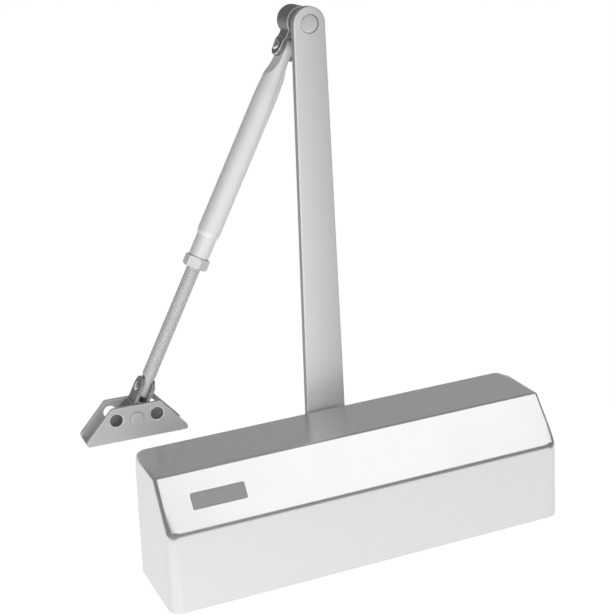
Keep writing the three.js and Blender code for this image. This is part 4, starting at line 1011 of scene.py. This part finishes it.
threaded_bar = threaded("rod_thread", ROD_START_S, ROD_PIN_S + ROD_PAST_PIN)
shoulder = -ROD_PIN_S + ROD_FLAT_LENGTH
wide = ROD_R + 0.5
at_rod_pin = shifted(0, 0, -ROD_PIN_S)
blank = set_in(plate("blank", [
    (-ROD_HALF_FLAT, -ROD_PIN_S - 10), (ROD_HALF_FLAT, -ROD_PIN_S - 10), (ROD_HALF_FLAT, shoulder),
    (wide, shoulder + ROD_FLAT_RUN), (wide, 0), (-wide, 0), (-wide, shoulder + ROD_FLAT_RUN),
    (-ROD_HALF_FLAT, shoulder),
], -THROUGH, THROUGH), UPRIGHT)
round_end = cut_rod(ROD_PAST_PIN, -THROUGH, THROUGH, at_rod_pin, ALONG_X)
combined(round_end, "UNION", cut_block((-THROUGH, THROUGH), (-THROUGH, THROUGH), (-ROD_PIN_S, 0)))
combined(threaded_bar, "INTERSECT", blank, round_end)
combined(threaded_bar, "DIFFERENCE", cut_rod(ROD_PIN_R + FIT, -THROUGH, THROUGH, at_rod_pin, ALONG_X))
tidied(threaded_bar, 50)
set_in(threaded_bar, FOREARM_FRAME)
ROD_FINISH = plated("rod_plating", 0.77, rough=0.50, metallic=0.45)
fitted(threaded_bar, "rod", "threaded_rod", "zinc", ROD_FINISH)


# ---- Swivel pin ----
# A short plated pin through the swivel's ears and the rod's flat, headed on one side and riveted over
# to a longer tail on the other.

EAR_INNER = ROD_HALF_FLAT + 0.2
EAR_OUTER = EAR_INNER + 1.8
SWIVEL_PIN_HEADS = [(3.2, 0.8), (3.2, 3.2)]     # radius, height

seat = EAR_OUTER + FIT
swivel_pin = headed_pin("swivel_pin", ROD_PIN_R, (-seat, seat), SWIVEL_PIN_HEADS)
set_in(swivel_pin, FOREARM_FRAME, at_rod_pin, ALONG_X)
fitted(swivel_pin, "rod", "rod_pin", "zinc", BRIGHT_PIN)


# ---- Swivel ----
# A forged steel fork on a round barrel that turns on the shoe's rivet, painted with the shoe. The two thin
# ears hold the rod's flat. Its paint is given darker than the shoe's as painted shade, and its edges are
# brightened as wear and painted highlight.

SWIVEL_BARREL_R = 8.4
SWIVEL_FLOOR = 2.2
SWIVEL_EDGE = 0.35
SHOE_RIVET_R = 3.5

rivet_place = Vector(JOINTS["shoe_turn"]["pos_m"])
SHOE_RIVET_S = (rivet_place - elbow_place).length / MM
low, high = y_range("shoe_swivel")
half = (high - low) / 2
at_rivet = shifted(0, 0, -SHOE_RIVET_S)
swivel = cut_rod(SWIVEL_BARREL_R, -half, half, at_rivet, ALONG_Y)
swivel.name = "swivel_forging"
combined(
    swivel, "UNION",
    cut_rod(half, -EAR_OUTER, EAR_OUTER, at_rod_pin, ALONG_X),
    cut_block((-EAR_OUTER, EAR_OUTER), (-half, half), (-SHOE_RIVET_S, -ROD_PIN_S)),
)
floor_s = ROD_PIN_S + ROD_PAST_PIN + SWIVEL_FLOOR
combined(
    swivel, "DIFFERENCE",
    cut_block((-EAR_INNER, EAR_INNER), (-half - 2, half + 2), (-floor_s, -ROD_PIN_S + half + 2)),
    cut_rod(ROD_PIN_R + FIT, -THROUGH, THROUGH, at_rod_pin, ALONG_X),
    cut_rod(SHOE_RIVET_R + FIT, -THROUGH, THROUGH, at_rivet, ALONG_Y),
)
evened(softened(swivel, SWIVEL_EDGE, 40))
set_in(swivel, FOREARM_FRAME)
# Painted shade: a darker copy of the shoe's paint, with edges brightened as wear and painted highlight.
SWIVEL_SHADED_PAINT = painted("swivel_coat_painted_shade", 0.50, metallic=0.4, rough=0.45, edge_wear_and_highlight=0.4)
fitted(swivel, "swivel", "shoe_swivel", "silver_paint", SWIVEL_SHADED_PAINT)


# ---- Shoe ----
# The frame shoe is one piece of 2.5 mm steel sheet, punched, then folded up into a channel and painted.
# Each flange has a hole on either side of the rivet, so that a driver reaches the screws in the base.

SHOE_SHEET = 2.5
SHOE_HEIGHT = 24.4
SHOE_HALF_BASE = 34.78
SHOE_HALF_TOP = 16.8
SHOE_END_HEIGHT = 4.2
SHOE_CORNER_R = 2.4
SHOE_EDGE = 0.35
SHOE_RIVET_Z = 15.2
SHOE_RIVET_PLAY = 0.05
SHOE_HOLE_R = 4.3
SHOE_HOLE_X = 14.0
SHOE_HOLE_LIFT = 0.9
SHOE_HOLE_RIM = 0.5                 # pressed bevel round each hole
SHOE_SCREW_R = 2.7
SHOE_SCREW_X = 24.5
SHOE_LEAN = math.radians(1.2)
CHANNEL_CUT = 80                    # half the length of a cutter that runs along the channel
# Plate X and Y become Y and Z, and its height runs along X.
ALONG_CHANNEL = Matrix(((0, 0, 1, 0), (1, 0, 0, 0), (0, 1, 0, 0), (0, 0, 0, 1)))

front, back = y_range("shoe_bracket")
half = (back - front) / 2
low = -SHOE_RIVET_Z
high = low + SHOE_HEIGHT
upright = low + SHOE_END_HEIGHT
flange = eased([
    (SHOE_HALF_BASE, low), (SHOE_HALF_BASE, upright), (SHOE_HALF_TOP, high),
    (-SHOE_HALF_TOP, high), (-SHOE_HALF_BASE, upright), (-SHOE_HALF_BASE, low),
], SHOE_CORNER_R, 8)
shoe = set_in(plate("shoe_channel", flange, -half, half), UPRIGHT)


def along_channel(name, wide, low, high, radius, steps):
    """A bar along the channel, with rounded corners."""
    section = eased([(-wide, low), (wide, low), (wide, high), (-wide, high)], radius, steps)
    return set_in(plate(name, section, -CHANNEL_CUT, CHANNEL_CUT), ALONG_CHANNEL)


combined(shoe, "INTERSECT", along_channel("folded", half, low, high + 20, SHOE_SHEET, 10))
holes = [
    along_channel("trough", half - SHOE_SHEET, low + SHOE_SHEET, high + 9, 0.6, 4),
    cut_rod(SHOE_RIVET_R + SHOE_RIVET_PLAY, -half - 2, half + 2, ALONG_Y),
]
wide, straight = SHOE_HOLE_R + SHOE_HOLE_RIM, half - SHOE_HOLE_RIM * 0.7
for side in (-1, 1):
    hole = turned("hole", [
        (0, -half - 1), (wide, -half - 1), (wide, -half), (SHOE_HOLE_R, -straight),
        (SHOE_HOLE_R, straight), (wide, half), (wide, half + 1), (0, half + 1),
    ])
    holes.append(set_in(hole, shifted(side * SHOE_HOLE_X, 0, SHOE_HOLE_LIFT), ALONG_Y))
    holes.append(cut_rod(SHOE_SCREW_R, low - 2, low + SHOE_SHEET + 2, shifted(side * SHOE_SCREW_X, 0, 0)))
combined(shoe, "DIFFERENCE", *holes)
evened(softened(shoe, SHOE_EDGE, 40))


def in_a_hole(centre, normal):
    """True for the wall of a flange's two holes, which gets painted shade."""
    across, up = abs(centre.x) / MM - SHOE_HOLE_X, centre.z / MM - SHOE_HOLE_LIFT
    return math.hypot(across, up) < SHOE_HOLE_R + 0.03 and abs(normal.y) < 0.3


# Painted shade: the walls of the holes get the dark finish.
second_finish(shoe, in_a_hole)
SHOE_FRAME = Matrix.Translation(rivet_place) @ Matrix.Rotation(SHOE_LEAN, 4, "Y")
set_in(shoe, SHOE_FRAME)
# The shoe's paint is brightened at its edges as wear and painted highlight.
SHOE_PAINT = painted("shoe_paint", 0.70, metallic=0.3, rough=0.45, edge_wear_and_highlight=0.3)
# A dark finish for painted shade in the holes and a painted shadow round the rivet's heads.
DARK_PAINTED_SHADE = plated("painted_shade_dark", 0.34, rough=0.55, metallic=0.3)
fitted(shoe, "shoe", "shoe_bracket", "silver_paint", SHOE_PAINT, DARK_PAINTED_SHADE)


# ---- Shoe rivet ----
# A steel rivet through both flanges and the swivel, with a flat head at each side. It was painted with
# the shoe, and the rims of its heads are dark as a painted shadow.

SHOE_RIVET_HEAD = (4.5, 0.7)        # radius, height


def flat_headed(r, h):
    return [(r, 0), (r, h * 0.5), (r - 0.1, h * 0.8), (r - 0.35, h * 0.95), (r - 0.8, h), (0, h)]


seat = half + FIT
shoe_rivet = headed_pin(
    "shoe_rivet_headed", SHOE_RIVET_R - 0.1, (-seat, seat), [SHOE_RIVET_HEAD] * 2, flat_headed,
)
set_in(shoe_rivet, SHOE_FRAME, ALONG_Y)
# Painted shadow: the rims of the rivet's heads get the dark finish.
second_finish(shoe_rivet, lambda centre, normal: abs(normal.y) < 0.6)
fitted(shoe_rivet, "shoe", "shoe_rivet", "zinc", SHOE_PAINT, DARK_PAINTED_SHADE)


# ---- Arm screw and washer ----
# A plated socket-head screw and a plain washer. They clamp the arm's hub on the square end of the
# pinion.

ARM_SCREW_R = 3.0
ARM_SCREW_HEAD_R = 6.5
SOCKET_R = 2.3                      # to its corners
SOCKET_DEPTH = 2.2
SCREW_EDGE = 0.12

tip, top = y_range("arm_screw")
washer_foot, washer_top = y_range("arm_washer")
seat = washer_top + FIT
arm_screw = turned("hub_screw", [
    (0, tip), (ARM_SCREW_R - 0.5, tip), (ARM_SCREW_R, tip + 0.5), (ARM_SCREW_R, seat),
    (ARM_SCREW_HEAD_R, seat), (ARM_SCREW_HEAD_R, seat + 1.0), (ARM_SCREW_HEAD_R * 0.96, seat + 1.7),
    (ARM_SCREW_HEAD_R * 0.84, top - 0.45), (ARM_SCREW_HEAD_R * 0.66, top), (0, top),
])
combined(arm_screw, "DIFFERENCE", plate("socket", hexagon(SOCKET_R), top - SOCKET_DEPTH, top + 1))
evened(softened(arm_screw, SCREW_EDGE, 50, 2))
set_in(arm_screw, ARM_FRAME, ALONG_Y)
fitted(arm_screw, "arm", "arm_screw", "zinc", ZINC)

low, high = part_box("arm_washer")
washer_r = (high.x - low.x) / 2 / MM
arm_washer = washer("hub_washer", ARM_SCREW_R + 0.3, washer_r, washer_foot, washer_top, rim=0.25)
set_in(arm_washer, ARM_FRAME, ALONG_Y)
fitted(arm_washer, "arm", "arm_washer", "zinc", ZINC)


# ---- Cover screws ----
# Two small plated steel screws with low round heads and a cross recess. They hold the cover to the
# housing through its arm side.

COVER_SCREW_R = 1.6
COVER_SCREW_HEAD_R = 3.4
COVER_SCREW_HEAD_H = 1.8
RECESS_HALF_LENGTH = 1.9
RECESS_HALF_WIDTH = 0.32
RECESS_DEPTH = 1.1

length, width = (-RECESS_HALF_LENGTH, RECESS_HALF_LENGTH), (-RECESS_HALF_WIDTH, RECESS_HALF_WIDTH)
for node, x in COVER_SCREWS.items():
    tip, top = y_range(node)
    seat = top - COVER_SCREW_HEAD_H
    cover_screw = turned(node + "_cross", [
        (0, tip), (COVER_SCREW_R - 0.5, tip), (COVER_SCREW_R, tip + 0.6), (COVER_SCREW_R, seat),
        (COVER_SCREW_HEAD_R, seat), (COVER_SCREW_HEAD_R, seat + 0.5),
        (COVER_SCREW_HEAD_R * 0.93, seat + 1.05), (COVER_SCREW_HEAD_R * 0.75, top - 0.3),
        (COVER_SCREW_HEAD_R * 0.45, top - 0.05), (0, top),
    ], 48)
    deep = (top - RECESS_DEPTH, top + 1)
    combined(cover_screw, "DIFFERENCE", cut_block(length, width, deep), cut_block(width, length, deep))
    tidied(cover_screw)
    set_in(cover_screw, shifted(x, 0, axis_z), ALONG_Y)
    fitted(cover_screw, "closer_body", node, "zinc", ZINC)


# ---- Housing ----
# An aluminium casting with a grainy skin. It holds the works and stands on a slab with four screw holes,
# and shows only through the open back of the cover.

CREASE = math.radians(32)
WELD = 1e-6                         # joins the solid's doubled corners, in metres


def crease_shading():
    """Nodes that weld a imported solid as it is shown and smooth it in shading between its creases."""
    group = bpy.data.node_groups.new("between_creases", "GeometryNodeTree")
    group.is_modifier = True
    for way in ("INPUT", "OUTPUT"):
        group.interface.new_socket("Geometry", in_out=way, socket_type="NodeSocketGeometry")
    shading = Finish(group, group)
    given = shading.node("NodeGroupInput")
    welded = shading.node("GeometryNodeMergeByDistance", values={"Geometry": given, "Distance": WELD})
    smooth = shading.node("GeometryNodeSetShadeSmooth", values={"Geometry": welded})
    angle = shading.node("GeometryNodeInputMeshEdgeAngle", output="Unsigned Angle")
    compare = {"data_type": "FLOAT", "operation": "LESS_THAN"}
    soft = shading.node("FunctionNodeCompare", compare, {"A": angle, "B": CREASE})
    creased = shading.node("GeometryNodeSetShadeSmooth", {"domain": "EDGE"}, {
        "Geometry": smooth, "Shade Smooth": soft,
    })
    shading.node("NodeGroupOutput", values={"Geometry": creased})
    return group


BETWEEN_CREASES = crease_shading()


def dressed(finish, *nodes):
    """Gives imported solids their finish."""
    for node in nodes:
        packed = bpy.data.objects[node]
        for place in packed.material_slots:
            place.material = finish
        packed.modifiers.new("between_creases", "NODES").node_group = BETWEEN_CREASES


def die_cast(name, shown):
    """Bare aluminium casting: dull, mottled and finely pitted."""
    finish, place = new_finish(name)
    mottle = noise(place, 90.0, 5.0)
    skin = noise(place, 900.0, 3.0)
    pits = finish.node("ShaderNodeTexVoronoi", values={"Vector": place, "Scale": 700.0}, output="Distance")
    tone = (mottle - 0.5) * 0.16 + (skin - 0.5) * 0.08 + linear(shown)
    rough = (mottle - 0.5) * 0.2 + 0.55
    return surfaced(tone, 0.6, rough, skin * 0.6 + pits * 0.4, 0.35, 0.0005, tint=(1, 1, 1.02))


dressed(die_cast("die_cast", 0.62), "housing")


# ---- Pinion, piston and bearings ----
# The gear shaft, the piston and the plugs are ground steel. The shaft turns in two bronze bushes, each
# held in by a ring nut, and a lip seal keeps the oil in.

GROUND_STEEL = plated("ground_steel", 0.68, rough=0.28, grain=2200.0)
BRONZE = plated("bronze", 0.60, rough=0.36, warm=0.32, grain=1800.0)
dressed(GROUND_STEEL, "pinion", "piston", "spring_seat", "end_plug_spring", "end_plug_valve")
dressed(BRONZE, "bearing_arm_side", "bearing_blank_side", "check_valve")
dressed(ZINC, "seal_nut", "bottom_nut", "spring_adjuster")


# ---- Regulating valves ----
# Three small bronze screws in the top of the housing set the speed of the swing, the latch and the check
# at opening.

dressed(BRONZE, "valve_sweep", "valve_latch", "valve_backcheck")


# ---- Seals ----
# Moulded rings of black rubber sit in the grooves of the two plugs, and a rubber lip seal runs on the
# shaft.


def rubber(name):
    """Black rubber with a faint bloom."""
    _, place = new_finish(name)
    bloom = noise(place, 300.0, 4.0)
    return surfaced(bloom * 0.03 + 0.02, 0.0, bloom * 0.2 + 0.55, bloom, 0.1, 0.0003)


dressed(rubber("seal_rubber"), "plug_seal_spring", "plug_seal_valve", "shaft_seal")


# ---- Closing spring ----
# A coil of round, oil-tempered wire between the seat and the piston's cup. In the closer the piston
# shortens most of it and the seat its first turn, so that turn is a piece of its own, from which the wire
# runs on. The share of each piece's length kept at the end of its slide is worked out, but not applied.

SPRING_WIRE_R = 2.5
SPRING_TURNS = 6
SEAT_TURNS = 1
STEPS_A_TURN = 36

spring_low, spring_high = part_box("main_spring")
spring_mean_r = (spring_high.z - spring_low.z) / 2 - SPRING_WIRE_R * MM
spring_pitch = (spring_high.x - spring_low.x - 2 * SPRING_WIRE_R * MM) / SPRING_TURNS


def turn_x(turn):
    """How far along X the wire's centre is after `turn` turns."""
    return spring_low.x + SPRING_WIRE_R * MM + spring_pitch * turn


def coiled(name, first, last):
    """The wire from one turn to another, as a mesh."""
    wire = bpy.data.curves.new(name, "CURVE")
    wire.dimensions = "3D"
    wire.bevel_depth = SPRING_WIRE_R * MM
    wire.bevel_resolution = 4
    wire.use_fill_caps = True
    path = wire.splines.new("POLY")
    steps = (last - first) * STEPS_A_TURN
    path.points.add(steps)
    for k in range(steps + 1):
        turn = first + k / STEPS_A_TURN
        angle = 2 * math.pi * turn
        path.points[k].co = (
            turn_x(turn), spring_mean_r * math.cos(angle), axis_z * MM + spring_mean_r * math.sin(angle), 1,
        )
    drawn = standing(name + "_drawn", wire)
    mesh = bpy.data.meshes.new_from_object(drawn.evaluated_get(bpy.context.evaluated_depsgraph_get()))
    coil = standing(name, mesh)
    bpy.data.objects.remove(drawn)
    tidied(coil, 50)
    coil.data.materials.clear()
    return coil


OIL_TEMPERED = plated("oil_tempered", 0.30, rough=0.38, grain=1200.0)
split = turn_x(SEAT_TURNS)
for name, first, last, joint, end in (
    ("closing_spring_first_turn", 0, SEAT_TURNS, "spring_seat_slide", spring_low.x),
    ("closing_spring", SEAT_TURNS, SPRING_TURNS, "piston_slide", spring_high.x),
):
    coil = coiled(name, first, last)
    fitted(coil, "closer_body", "main_spring", "spring_steel", OIL_TEMPERED)
    length = abs(end - split)
    keep = (length - JOINTS[joint]["range_m"][1]) / length
    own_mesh(coil)
